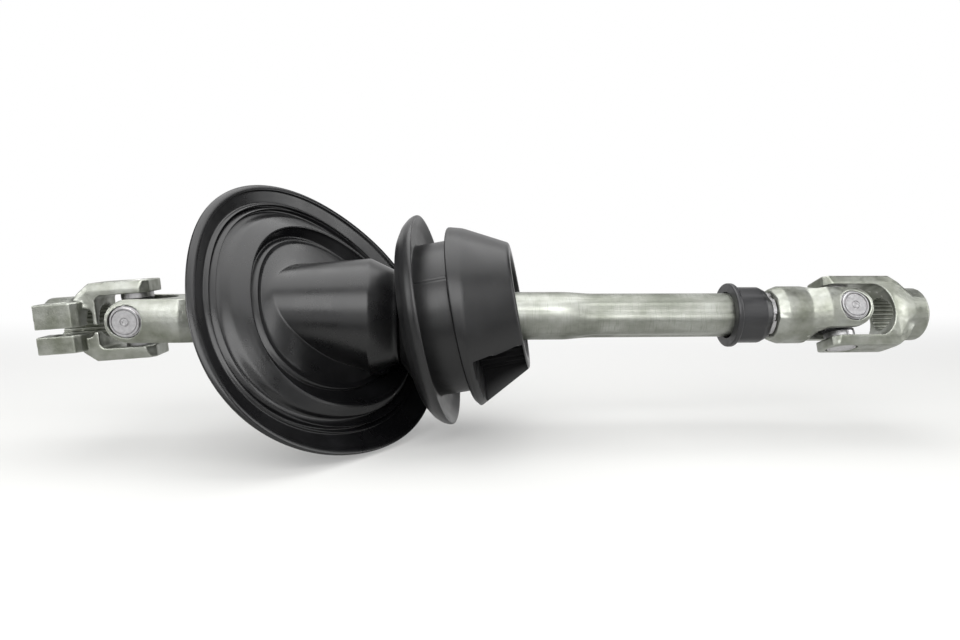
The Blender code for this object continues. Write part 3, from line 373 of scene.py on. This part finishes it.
# Eight bearing cups are drawn from bright steel strip and pressed into the yokes' ears. The press leaves
# a raised rim and a ringed dimple in each face. The caged needles inside are the CAD nodes.
LOWER_JOINT = np.array((-0.1676, 0.0, 0.0))
UPPER_JOINT = np.array((0.2167, 0.0, 0.0))
CLAMP_PITCH = math.radians(-4.0)
UPPER_TURN = math.radians(-22.5)
pitched = np.array(((math.cos(CLAMP_PITCH), 0.0, math.sin(CLAMP_PITCH)), (0.0, 1.0, 0.0),
                    (-math.sin(CLAMP_PITCH), 0.0, math.cos(CLAMP_PITCH))))
turned_up = np.array(((1.0, 0.0, 0.0), (0.0, math.cos(UPPER_TURN), -math.sin(UPPER_TURN)),
                      (0.0, math.sin(UPPER_TURN), math.cos(UPPER_TURN))))
CUP_FACE = 0.020
CUP_MOUTH = 0.011
CUP_BORE = 0.0073
CUP_PROFILE = np.array((
    (CUP_FACE - 0.00060, 0.0), (CUP_FACE - 0.00060, 0.0009), (CUP_FACE - 0.00035, 0.0011),
    (CUP_FACE - 0.00035, 0.0017), (CUP_FACE - 0.00065, 0.0019), (CUP_FACE - 0.00065, 0.0021),
    (CUP_FACE - 0.00030, 0.0023), (CUP_FACE - 0.00030, 0.0059), (CUP_FACE - 0.00070, 0.0061),
    (CUP_FACE - 0.00070, 0.0063), (CUP_FACE, 0.0066), (CUP_FACE, 0.0071), (CUP_FACE - 0.0003, 0.0074),
    (CUP_FACE - 0.0016, 0.0074), (CUP_FACE - 0.0016, 0.0080), (CUP_MOUTH, 0.0080), (CUP_MOUTH, CUP_BORE),
    (CUP_FACE - 0.0019, CUP_BORE), (CUP_FACE - 0.0019, 0.0)))


def turned_about(profile, centre, axis, columns):
    """A profile of (along, radius) turned about an axis through centre: along * axis + radius round it."""
    axis = np.asarray(axis, float) / np.linalg.norm(axis)
    across = np.cross(axis, (0.3, 0.5, 0.81))
    across /= np.linalg.norm(across)
    beyond = np.cross(axis, across)
    angle = np.arange(columns) * 2.0 * math.pi / columns
    round_it = np.cos(angle)[:, None] * across + np.sin(angle)[:, None] * beyond
    return np.asarray(centre) + profile[:, :1, None] * axis + profile[:, 1:, None] * round_it


# Drawn strip stays bright and mirrors the lamps softly.
bright_steel, tree, shader = finish_of("drawn bright steel strip", "#ACABAC", 0.38, 1.0)
wipe = grain(tree, (1.0, 1.0, 1.0), 700.0, detail=3.0)
tint = ramp(tree, wipe.outputs["Fac"], [(0.35, "#A4A3A4"), (0.65, "#B4B3B4")])
tree.links.new(tint.outputs[0], shader.inputs["Base Color"])
dull = spread_of(tree, wipe.outputs["Fac"], 0.34, 0.44)
tree.links.new(dull.outputs[0], shader.inputs["Roughness"])

# Each cup's mouth is closed by a lip seal of black nitrile rubber that sits on the cross.
nitrile, tree, shader = finish_of("moulded nitrile rubber", "#1C1C1E", 0.5)
pores = grain(tree, (1.0, 1.0, 1.0), 900.0)
dull = spread_of(tree, pores.outputs["Fac"], 0.42, 0.62)
tree.links.new(dull.outputs[0], shader.inputs["Roughness"])
SEAL_PROFILE = np.array(((0.0093, 0.0051), (0.0091, 0.0062), (0.0092, 0.0074), (0.0096, 0.0078),
                         (0.0102, 0.0077), (0.0105, 0.0079), (0.0107, 0.0079), (0.0107, 0.0051)))

for owner, cross_name, word, centre, axis in (
    ("lower_shaft", "lower_cross", "front", LOWER_JOINT, pitched @ (0.0, -1.0, 0.0)),
    ("lower_shaft", "lower_cross", "rear", LOWER_JOINT, pitched @ (0.0, 1.0, 0.0)),
    ("clamp", "lower_cross", "top", LOWER_JOINT, pitched @ (0.0, 0.0, 1.0)),
    ("clamp", "lower_cross", "bottom", LOWER_JOINT, pitched @ (0.0, 0.0, -1.0)),
    ("upper_shaft", "upper_cross", "front", UPPER_JOINT, turned_up @ (0.0, -1.0, 0.0)),
    ("upper_shaft", "upper_cross", "rear", UPPER_JOINT, turned_up @ (0.0, 1.0, 0.0)),
    ("socket", "upper_cross", "top", UPPER_JOINT, turned_up @ (0.0, 0.0, 1.0)),
    ("socket", "upper_cross", "bottom", UPPER_JOINT, turned_up @ (0.0, 0.0, -1.0)),
):
    cup = surface(f"{owner}_drawn_cup_{word}", turned_about(CUP_PROFILE, centre, axis, 72), loop=False)
    cup.data.set_sharp_from_angle(angle=math.radians(12.0))
    cup.data.materials.append(bright_steel)
    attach(cup, owner)
    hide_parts(f"{owner}_cup_{word}")
    lip = surface(f"{cross_name}_lip_seal_{word}", turned_about(SEAL_PROFILE, centre, axis, 60), loop=True)
    lip.data.materials.append(nitrile)
    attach(lip, cross_name)
    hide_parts(f"{cross_name}_seal_{word}")
    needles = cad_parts[f"{owner}_needles_{word}"]
    for material_slot in needles.material_slots:
        material_slot.material = bare_steel


# The collar is moulded in black nylon over the open end of the tube. It has a rim, a fluted body that
# grips the tube's flutes, and a chamfered nose.
COLLAR_START = 0.1522
COLLAR_END = 0.1735
RIM_RADIUS = 0.0179
COLLAR_RADIUS = 0.0157
COLLAR_BORE = 0.0128
COLLAR_STEP = 0.0004


def softened(rows, passes):
    """Closed rows, each moved towards the middle of its neighbours, so that edges come out rounded."""
    for _ in range(passes):
        rows = (np.roll(rows, 1, axis=0) + 2.0 * rows + np.roll(rows, -1, axis=0)) / 4.0
    return rows


collar_stations = np.array((
    # x, radius, flute depth
    (COLLAR_START, RIM_RADIUS - 0.0004, 0.0), (COLLAR_START + 0.0004, RIM_RADIUS, 0.0),
    (COLLAR_START + 0.0026, RIM_RADIUS, 0.0), (COLLAR_START + 0.0030, RIM_RADIUS - 0.0004, 0.0),
    (COLLAR_START + 0.0033, COLLAR_RADIUS, FLUTE_DEPTH), (COLLAR_END - 0.0040, COLLAR_RADIUS, FLUTE_DEPTH),
    (COLLAR_END, COLLAR_RADIUS - 0.0020, FLUTE_DEPTH), (COLLAR_END, FLUTED_RADIUS - TUBE_WALL, FLUTE_DEPTH),
    (TUBE_END + 0.0003, FLUTED_RADIUS - TUBE_WALL, FLUTE_DEPTH),
    (TUBE_END + 0.0003, COLLAR_BORE, FLUTE_DEPTH), (COLLAR_START, COLLAR_BORE, FLUTE_DEPTH)))
collar_rows = softened(filled(fluted(*collar_stations.T, FLUTE_TURN), COLLAR_STEP, loop=True), 2)
collar = surface("moulded_tube_collar", collar_rows, loop=True)
# Moulded nylon is black with a soft, broad shine and faint flow marks.
moulded_nylon, tree, shader = finish_of("moulded black nylon", "#19191B", 0.38)
pores = grain(tree, (1.0, 1.0, 1.0), 1200.0)
flow = grain(tree, (60.0, 220.0, 220.0), 1.0)
tint = ramp(tree, flow.outputs["Fac"], [(0.35, "#141416"), (0.65, "#1E1E20")])
tree.links.new(tint.outputs[0], shader.inputs["Base Color"])
dull = spread_of(tree, flow.outputs["Fac"], 0.32, 0.48)
tree.links.new(dull.outputs[0], shader.inputs["Roughness"])
bump = add(tree, "ShaderNodeBump", {"Height": pores.outputs["Fac"], "Distance": 0.00004, "Strength": 0.4})
tree.links.new(bump.outputs[0], shader.inputs["Normal"])
collar.data.materials.append(moulded_nylon)
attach(collar, "lower_shaft")
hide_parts("tube_collar")


# Inside the tube, a natural nylon liner carries the fluted inner shaft. Both stay as the CAD has them,
# drawn bar in the same zinc plate and nylon a little yellowed by grease.
greased_nylon, tree, shader = finish_of("greased natural nylon", "#D8D3C0", 0.35)
smears = grain(tree, (40.0, 200.0, 200.0), 1.0)
tint = ramp(tree, smears.outputs["Fac"], [(0.35, "#CFC8AE"), (0.65, "#E0DCCD")])
tree.links.new(tint.outputs[0], shader.inputs["Base Color"])
for material_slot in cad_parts["tube_liner"].material_slots:
    material_slot.material = greased_nylon
for material_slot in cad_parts["inner_shaft"].material_slots:
    material_slot.material = rolled_zinc


# The stop ring is a bright steel ring on the upper shaft's journal, next to the collar when the shaft is
# closed. It has six notches for its assembly tool.
RING_START = 0.1738
RING_WIDTH = 0.0024
RING_RADIUS = 0.0125
RING_BORE = 0.0079
RING_COLUMNS = 192
NOTCH_COUNT = 6.0
NOTCH_DEPTH = 0.0011
NOTCH_STEEPNESS = 60.0
NOTCH_LEVEL = 0.62
ring_angle = np.arange(RING_COLUMNS) * 2.0 * math.pi / RING_COLUMNS
notched = 1.0 / (1.0 + np.exp(-NOTCH_STEEPNESS * (np.cos(NOTCH_COUNT * ring_angle) - NOTCH_LEVEL)))
ring_stations = ((0.0, RING_BORE, 0.0), (0.0, RING_RADIUS - 0.0003, 1.0), (0.0003, RING_RADIUS, 1.0),
                 (RING_WIDTH - 0.0003, RING_RADIUS, 1.0), (RING_WIDTH, RING_RADIUS - 0.0003, 1.0),
                 (RING_WIDTH, RING_BORE, 0.0))
ring_rows = []
for along, radius, cut in ring_stations:
    reach = radius - cut * NOTCH_DEPTH * notched
    ring_rows.append(np.stack([np.full(RING_COLUMNS, RING_START + along), -reach * np.cos(ring_angle),
                               reach * np.sin(ring_angle)], axis=-1))
stop_ring = surface("notched_stop_ring", np.array(ring_rows), loop=True)
stop_ring.data.set_sharp_from_angle(angle=math.radians(40.0))
stop_ring.data.materials.append(bright_steel)
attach(stop_ring, "upper_shaft")
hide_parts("stop_ring")


# The bulkhead seal is moulded in one piece of EPDM rubber: a spigot in the boot's end, a lip flange,
# the groove that the bulkhead panel sits in, a band, and a cone with a ribbed pocket in its lower side.
# The band's edge by the cone sags: it is dropped, leant over and set back from a true circle.
SEAL_AXIS = np.array((0.972, -0.149, 0.182)) / np.linalg.norm((0.972, -0.149, 0.182))
BORE_RADIUS = 0.0178
CONE_ALONG = (0.0129, 0.0350)
CONE_RADII = (0.0481, 0.0347)


def ring_about(centre, normal, radius, columns):
    """Points round circles with these centres, normals and radii. The first point lies on the +Y side."""
    normal = normal / np.linalg.norm(normal, axis=-1, keepdims=True)
    side = np.array((0.0, 1.0, 0.0))
    across = side - normal[..., 1:2] * normal
    across /= np.linalg.norm(across, axis=-1, keepdims=True)
    rise = np.cross(normal, across)
    angle = np.arange(columns) * 2.0 * math.pi / columns
    round_it = (np.cos(angle)[None, :, None] * across[:, None, :]
                + np.sin(angle)[None, :, None] * rise[:, None, :])
    return centre[:, None, :] + np.broadcast_to(radius, (len(centre),))[:, None, None] * round_it


seal_stations = np.array((
    # distance along the axis, radius, 0 about the shaft or 1 about the leaning axis
    (-0.0400, 0.0213, 0.0), (-0.0390, 0.0223, 0.0), (-0.0297, 0.0223, 0.0), (-0.0297, 0.0252, 0.0),
    (-0.0206, 0.0440, 1.0), (-0.0209, 0.0484, 1.0), (-0.0196, 0.0505, 1.0), (-0.0172, 0.0540, 1.0),
    (-0.0140, 0.0566, 1.0), (-0.0115, 0.0577, 1.0), (-0.0098, 0.0578, 1.0), (-0.0095, 0.0571, 1.0),
    (-0.0108, 0.0552, 1.0), (-0.0131, 0.0516, 1.0), (-0.0143, 0.0470, 1.0), (-0.0145, 0.0443, 1.0),
    (-0.0145, 0.0415, 1.0), (0.0045, 0.0415, 1.0), (0.0045, 0.0477, 1.0), (0.0051, 0.0484, 1.0),
    (0.0122, 0.0484, 1.0), (CONE_ALONG[0], CONE_RADII[0], 1.0), (CONE_ALONG[1], CONE_RADII[1], 1.0),
    (0.0357, 0.0338, 1.0), (0.0357, 0.0290, 1.0), (0.0278, 0.0265, 1.0), (0.0100, BORE_RADIUS, 0.0),
    (-0.0400, BORE_RADIUS, 0.0)))
SEAL_COLUMNS = 288
BAND_EDGE = (0.0120, 0.0130)
BAND_DROP = 0.0020
BAND_LEAN = 0.0029
BAND_SETBACK = 0.0024
SEAL_STEP = 0.0008
station_axis = np.where(seal_stations[:, 2:] > 0.5, SEAL_AXIS, np.array((1.0, 0.0, 0.0)))
seal_rings = ring_about(seal_stations[:, :1] * station_axis, station_axis, seal_stations[:, 1], SEAL_COLUMNS)
band_edge = (seal_stations[:, 0] > BAND_EDGE[0]) & (seal_stations[:, 0] < BAND_EDGE[1])
low_side = np.sin(np.arange(SEAL_COLUMNS) * 2.0 * math.pi / SEAL_COLUMNS)
seal_rings[band_edge] += ((BAND_LEAN * low_side - BAND_SETBACK)[:, None] * SEAL_AXIS
                          - BAND_DROP * np.array((0.0, 0.0, 1.0)))
seal_rows = softened(filled(seal_rings, SEAL_STEP, loop=True), 2)


CONE_SKIN = 0.0330
COLUMN_STEP = 360.0 / SEAL_COLUMNS
POCKET_ALONG = (0.0104, 0.0345)
POCKET_ANGLES = (-74.375, -28.125)
POCKET_FLOOR = (0.0300, 0.0298)
POCKET_LEAN = 5.0
LEAN_REACH = 25.0
RIB_COUNT = 5.0
RIB_HEIGHT = 0.0016
BEAD_HEIGHT = 0.0004
BEAD_ABOVE = 0.6
BEAD_WIDTH = 0.9
GROOVE_SKIN = (0.0412, 0.0418)
GROOVE_END = 0.0044
SEAM_ANGLE = 35.0
SEAM_REACH = 0.7
SEAM_DEPTH = 0.0005


def pocketed(rows):
    """The pocket: the cone's skin sinks to the floor's radius between two angles and two distances.

    Round its upper edge the skin is first turned about the axis, by an angle that falls evenly to nothing
    along the pocket, so that this edge leans. The edge carries a low bead. The floor's ribs follow a
    cosine of the angle, steepened and clipped. A moulding seam crosses the bottom of the panel groove.
    """
    along = rows @ SEAL_AXIS
    out = rows - along[..., None] * SEAL_AXIS
    radius = np.linalg.norm(out, axis=-1)
    across = np.array((0.0, 1.0, 0.0)) - SEAL_AXIS[1] * SEAL_AXIS
    across /= np.linalg.norm(across)
    rise = np.cross(SEAL_AXIS, across)
    angle = np.degrees(np.arctan2(out @ rise, -(out @ across)))
    start, end = POCKET_ALONG
    low, high = POCKET_ANGLES
    part = np.clip((along - start) / (end - start), 0.0, 1.0)
    skin = (radius > CONE_SKIN) & (along > start) & (along < end)
    below_top = np.clip((high - angle) / COLUMN_STEP + 0.5, 0.0, 1.0)
    above_bottom = np.clip((angle - low) / COLUMN_STEP + 0.5, 0.0, 1.0)
    inside = skin * below_top * above_bottom
    wave = np.cos((angle - low) / (high - low) * 2.0 * math.pi * RIB_COUNT)
    ribs = np.clip(wave * 3.0 - 1.5, 0.0, 1.0)
    floor = POCKET_FLOOR[0] + (POCKET_FLOOR[1] - POCKET_FLOOR[0]) * part
    bead = skin * np.exp(-((angle - high - BEAD_ABOVE) / BEAD_WIDTH) ** 2) * (inside < 0.5)
    depth = inside * np.maximum(0.0, radius - floor - RIB_HEIGHT * ribs) - BEAD_HEIGHT * bead
    groove = (radius > GROOVE_SKIN[0]) & (radius < GROOVE_SKIN[1]) & (along < GROOVE_END)
    depth = depth + SEAM_DEPTH * (groove & (np.abs(angle - SEAM_ANGLE) < SEAM_REACH))
    nearness = np.clip(1.0 - np.abs(angle - high) / LEAN_REACH, 0.0, 1.0)
    lean = np.where(radius > CONE_SKIN, POCKET_LEAN * (1.0 - part) * nearness, 0.0)
    turned = np.radians(angle + lean)[..., None]
    outward = np.sin(turned) * rise - np.cos(turned) * across
    return along[..., None] * SEAL_AXIS + (radius - depth)[..., None] * outward


bulkhead_seal = surface("moulded_bulkhead_seal", pocketed(seal_rows), loop=True)
bulkhead_seal.data.set_sharp_from_angle(angle=math.radians(50.0))

# The pocket's sunk skin is marked in an attribute. There the rubber is rougher, and its specular level is
# cut, which paints the pocket's shade.
FLOOR_MARGIN = 0.0002
SKIN_MARGIN = 0.0014
spots = np.empty(len(bulkhead_seal.data.vertices) * 3, np.float32)
bulkhead_seal.data.vertices.foreach_get("co", spots)
spots = spots.reshape(-1, 3).astype(float)
spot_along = spots @ SEAL_AXIS
spot_radius = np.linalg.norm(spots - spot_along[:, None] * SEAL_AXIS, axis=1)
cone_radius = np.interp(spot_along, CONE_ALONG, CONE_RADII)
sunk = ((spot_along > POCKET_ALONG[0]) & (spot_along < POCKET_ALONG[1]) & (spots[:, 2] < 0.0)
        & (spot_radius > POCKET_FLOOR[1] - FLOOR_MARGIN) & (spot_radius < cone_radius - SKIN_MARGIN))
in_pocket = bulkhead_seal.data.attributes.new("in_pocket", "FLOAT", "POINT")
in_pocket.data.foreach_set("value", sunk.astype(np.float32))

# EPDM rubber is near black, with a soft sheen that bloom breaks up and fine lines round it.
seal_rubber, tree, shader = finish_of("moulded EPDM seal rubber", "#0D0D0E", 0.46,
                                        **{"Specular IOR Level": 0.42})
bloom = grain(tree, (1.0, 1.0, 1.0), 45.0, detail=5.0, roughness=0.6)
turning = grain(tree, (900.0, 60.0, 60.0), 1.0, detail=3.0)
pores = grain(tree, (1.0, 1.0, 1.0), 1500.0, detail=2.0)
tint = ramp(tree, bloom.outputs["Fac"], [(0.30, "#0A0A0B"), (0.55, "#0D0D0E"), (0.75, "#131314")])
tree.links.new(tint.outputs[0], shader.inputs["Base Color"])
dull = spread_of(tree, bloom.outputs["Fac"], 0.30, 0.44)
pocket_share = add(tree, "ShaderNodeAttribute", attribute_name="in_pocket")
rough = add(tree, "ShaderNodeMath", {0: pocket_share.outputs["Fac"], 1: 0.35, 2: dull.outputs[0]},
            operation="MULTIPLY_ADD", use_clamp=True)
tree.links.new(rough.outputs[0], shader.inputs["Roughness"])
# In the pocket the specular level falls from 0.42 to 0.08: painted shade in the pocket.
gloss = spread_of(tree, pocket_share.outputs["Fac"], 0.42, 0.08, 0.0, 1.0)
tree.links.new(gloss.outputs[0], shader.inputs["Specular IOR Level"])
lines = add(tree, "ShaderNodeBump", {"Height": turning.outputs["Fac"], "Distance": 0.00006, "Strength": 0.4})
bump = add(tree, "ShaderNodeBump", {"Height": pores.outputs["Fac"], "Distance": 0.00004, "Strength": 0.4,
                                    "Normal": lines.outputs[0]})
tree.links.new(bump.outputs[0], shader.inputs["Normal"])
bulkhead_seal.data.materials.append(seal_rubber)
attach(bulkhead_seal, "bulkhead")
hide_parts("bulkhead_seal")
for material_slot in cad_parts["seal_bush"].material_slots:
    material_slot.material = moulded_nylon


# The floor boot is moulded in glossier EPDM rubber, one wall of about 2.6 mm: a rolled rim, stepped rings
# that let it flex, a sleeve along the shaft and a cone whose end grips the seal's spigot.
BOOT_WALL = 0.0026
BOOT_COLUMNS = 252
SHORT_SPAN = 0.0016
FINE_STEP = 0.0004
COARSE_STEP = 0.0013
INSIDE_STEP = 0.0016
FLANGE_CENTRE = np.array((-0.0688, 0.0, 0.0010))
FLANGE_NORMAL = np.array((0.668, -0.558, 0.493)) / np.linalg.norm((0.668, -0.558, 0.493))
UPHILL = np.array((0.0, 0.0, 1.0)) - FLANGE_NORMAL[2] * FLANGE_NORMAL
UPHILL /= np.linalg.norm(UPHILL)
FLANGE_SAG = ((-0.0556, 0.0162), (-0.0136, 0.0042), (-0.0181, -0.0185), (0.0134, 0.0011))
RIM_STATIONS = 5
RING_LIFT = 0.0025
LIFT_START = 0.0661
LIFT_SPAN = 0.0493
flange_stations = np.array((
    # mean radius, height above the flange's plane
    (0.0760, -0.0013), (0.0772, -0.0009), (0.0778, 0.0000), (0.0775, 0.0009), (0.0768, 0.0013),
    (0.0750, 0.0012), (0.0741, 0.0002), (0.0735, -0.0001), (0.0668, -0.0021), (0.0664, -0.0012),
    (0.0659, -0.0008), (0.0655, -0.0014), (0.0650, -0.0027), (0.0641, -0.0027), (0.0637, -0.0008),
    (0.0632, -0.0002), (0.0627, -0.0008), (0.0620, -0.0024), (0.0591, -0.0020), (0.0583, 0.0004),
    (0.0578, 0.0011), (0.0552, 0.0027), (0.0535, 0.0036), (0.0522, 0.0041), (0.0514, 0.0039),
    (0.0508, 0.0029), (0.0480, 0.0012), (0.0456, -0.0003), (0.0447, -0.0005), (0.0441, 0.0006),
    (0.0434, 0.0012), (0.0427, 0.0010), (0.0410, 0.0009)))


def flange_rings(stations):
    """Curves parallel to the flange: centre + height along X + shift * uphill, with the radius waved.

    The radius is multiplied by 1 + sum of c cos(k angle) + s sin(k angle), k = 1 to 4.
    """
    radius, height = stations.T
    shift = RING_LIFT * np.maximum(0.0, LIFT_START - radius) / LIFT_SPAN
    centre = (FLANGE_CENTRE + height[:, None] / FLANGE_NORMAL[0] * np.array((1.0, 0.0, 0.0))
              + shift[:, None] * UPHILL)
    rings = ring_about(centre, np.broadcast_to(FLANGE_NORMAL, centre.shape), radius, BOOT_COLUMNS)
    angle = np.arange(BOOT_COLUMNS) * 2.0 * math.pi / BOOT_COLUMNS
    swell = 1.0 + sum(c * np.cos(k * angle) + s * np.sin(k * angle)
                      for k, (c, s) in enumerate(FLANGE_SAG, 1))
    return centre[:, None, :] + (rings - centre[:, None, :]) * swell[None, :, None]


SLEEVE_LIMIT = -0.0385
SLEEVE_BASE = 0.0045
SLEEVE_BLEND = 0.002
SLEEVE_STEP = 0.0015
CONE_END = -0.0325
sleeve_stations = np.array((
    # radius, flat end's x, share of the way from the slanted base to that end
    (0.0285, -0.0456, 0.0), (0.0295, -0.0456, 0.35), (0.0306, -0.0456, 0.7), (0.0315, -0.0456, 1.0),
    (0.0252, CONE_END, 1.0), (0.0252, -0.0300, 1.0)))


def sleeve_rings(inset):
    """Rings about the shaft, each its share of the way from the flange's slant to a flat end.

    The slanted base is kept short of SLEEVE_LIMIT, and a flat end that lies before this limit is kept
    past the base by SLEEVE_STEP or more.
    """
    rings = []
    for radius, flat, share in sleeve_stations:
        centre = np.zeros((1, 3))
        ring = ring_about(centre, np.array(((1.0, 0.0, 0.0),)), radius - inset, BOOT_COLUMNS)[0]
        slanted = (SLEEVE_BASE - inset + FLANGE_CENTRE @ FLANGE_NORMAL
                   - ring[:, 1:] @ FLANGE_NORMAL[1:]) / FLANGE_NORMAL[0]
        base = SLEEVE_LIMIT - SLEEVE_BLEND * np.log1p(np.exp((SLEEVE_LIMIT - slanted) / SLEEVE_BLEND))
        end = np.maximum(flat, base + SLEEVE_STEP) if flat < SLEEVE_LIMIT else np.full_like(base, flat)
        if flat == CONE_END:
            end = end - inset / 2.0
        ring[:, 0] = (1.0 - share) * base + share * end
        rings.append(ring)
    return np.array(rings)


# The inside runs behind the outside's stations, from the end of the rolled rim.
behind = flange_stations[RIM_STATIONS:] - np.array((BOOT_WALL / 3.0, BOOT_WALL))
outside_rings = np.concatenate([flange_rings(flange_stations), sleeve_rings(0.0)])
ring_spans = np.linalg.norm(np.diff(outside_rings, axis=0), axis=-1).min(axis=1)
outside_steps = np.where(ring_spans < SHORT_SPAN, FINE_STEP, COARSE_STEP)
boot_outside = filled(outside_rings, outside_steps, loop=False)
inside_rings = np.concatenate([flange_rings(behind), sleeve_rings(BOOT_WALL)])[::-1]
boot_inside = filled(inside_rings, INSIDE_STEP, loop=False)
boot_rows = softened(np.concatenate([boot_outside, boot_inside]), 1)
floor_boot = surface("moulded_floor_boot", boot_rows, loop=True)

# The boot's rubber is like the seal's but glossier, with faint scuffs that run round it.
boot_rubber, tree, shader = finish_of("moulded EPDM boot rubber", "#09090A", 0.34,
                                        **{"Specular IOR Level": 0.42})
bloom = grain(tree, (1.0, 1.0, 1.0), 38.0, detail=6.0, roughness=0.62)
scuffs = grain(tree, (420.0, 60.0, 60.0), 1.0, detail=3.0)
pores = grain(tree, (1.0, 1.0, 1.0), 1400.0, detail=2.0)
tint = ramp(tree, bloom.outputs["Fac"], [(0.30, "#060607"), (0.55, "#09090A"), (0.75, "#0E0E10")])
tree.links.new(tint.outputs[0], shader.inputs["Base Color"])
dull = spread_of(tree, bloom.outputs["Fac"], 0.22, 0.38)
tree.links.new(dull.outputs[0], shader.inputs["Roughness"])
lines = add(tree, "ShaderNodeBump", {"Height": scuffs.outputs["Fac"], "Distance": 0.00008, "Strength": 0.35})
bump = add(tree, "ShaderNodeBump", {"Height": pores.outputs["Fac"], "Distance": 0.00004, "Strength": 0.4,
                                    "Normal": lines.outputs[0]})
tree.links.new(bump.outputs[0], shader.inputs["Normal"])
floor_boot.data.materials.append(boot_rubber)
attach(floor_boot, "bulkhead")
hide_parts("floor_boot")
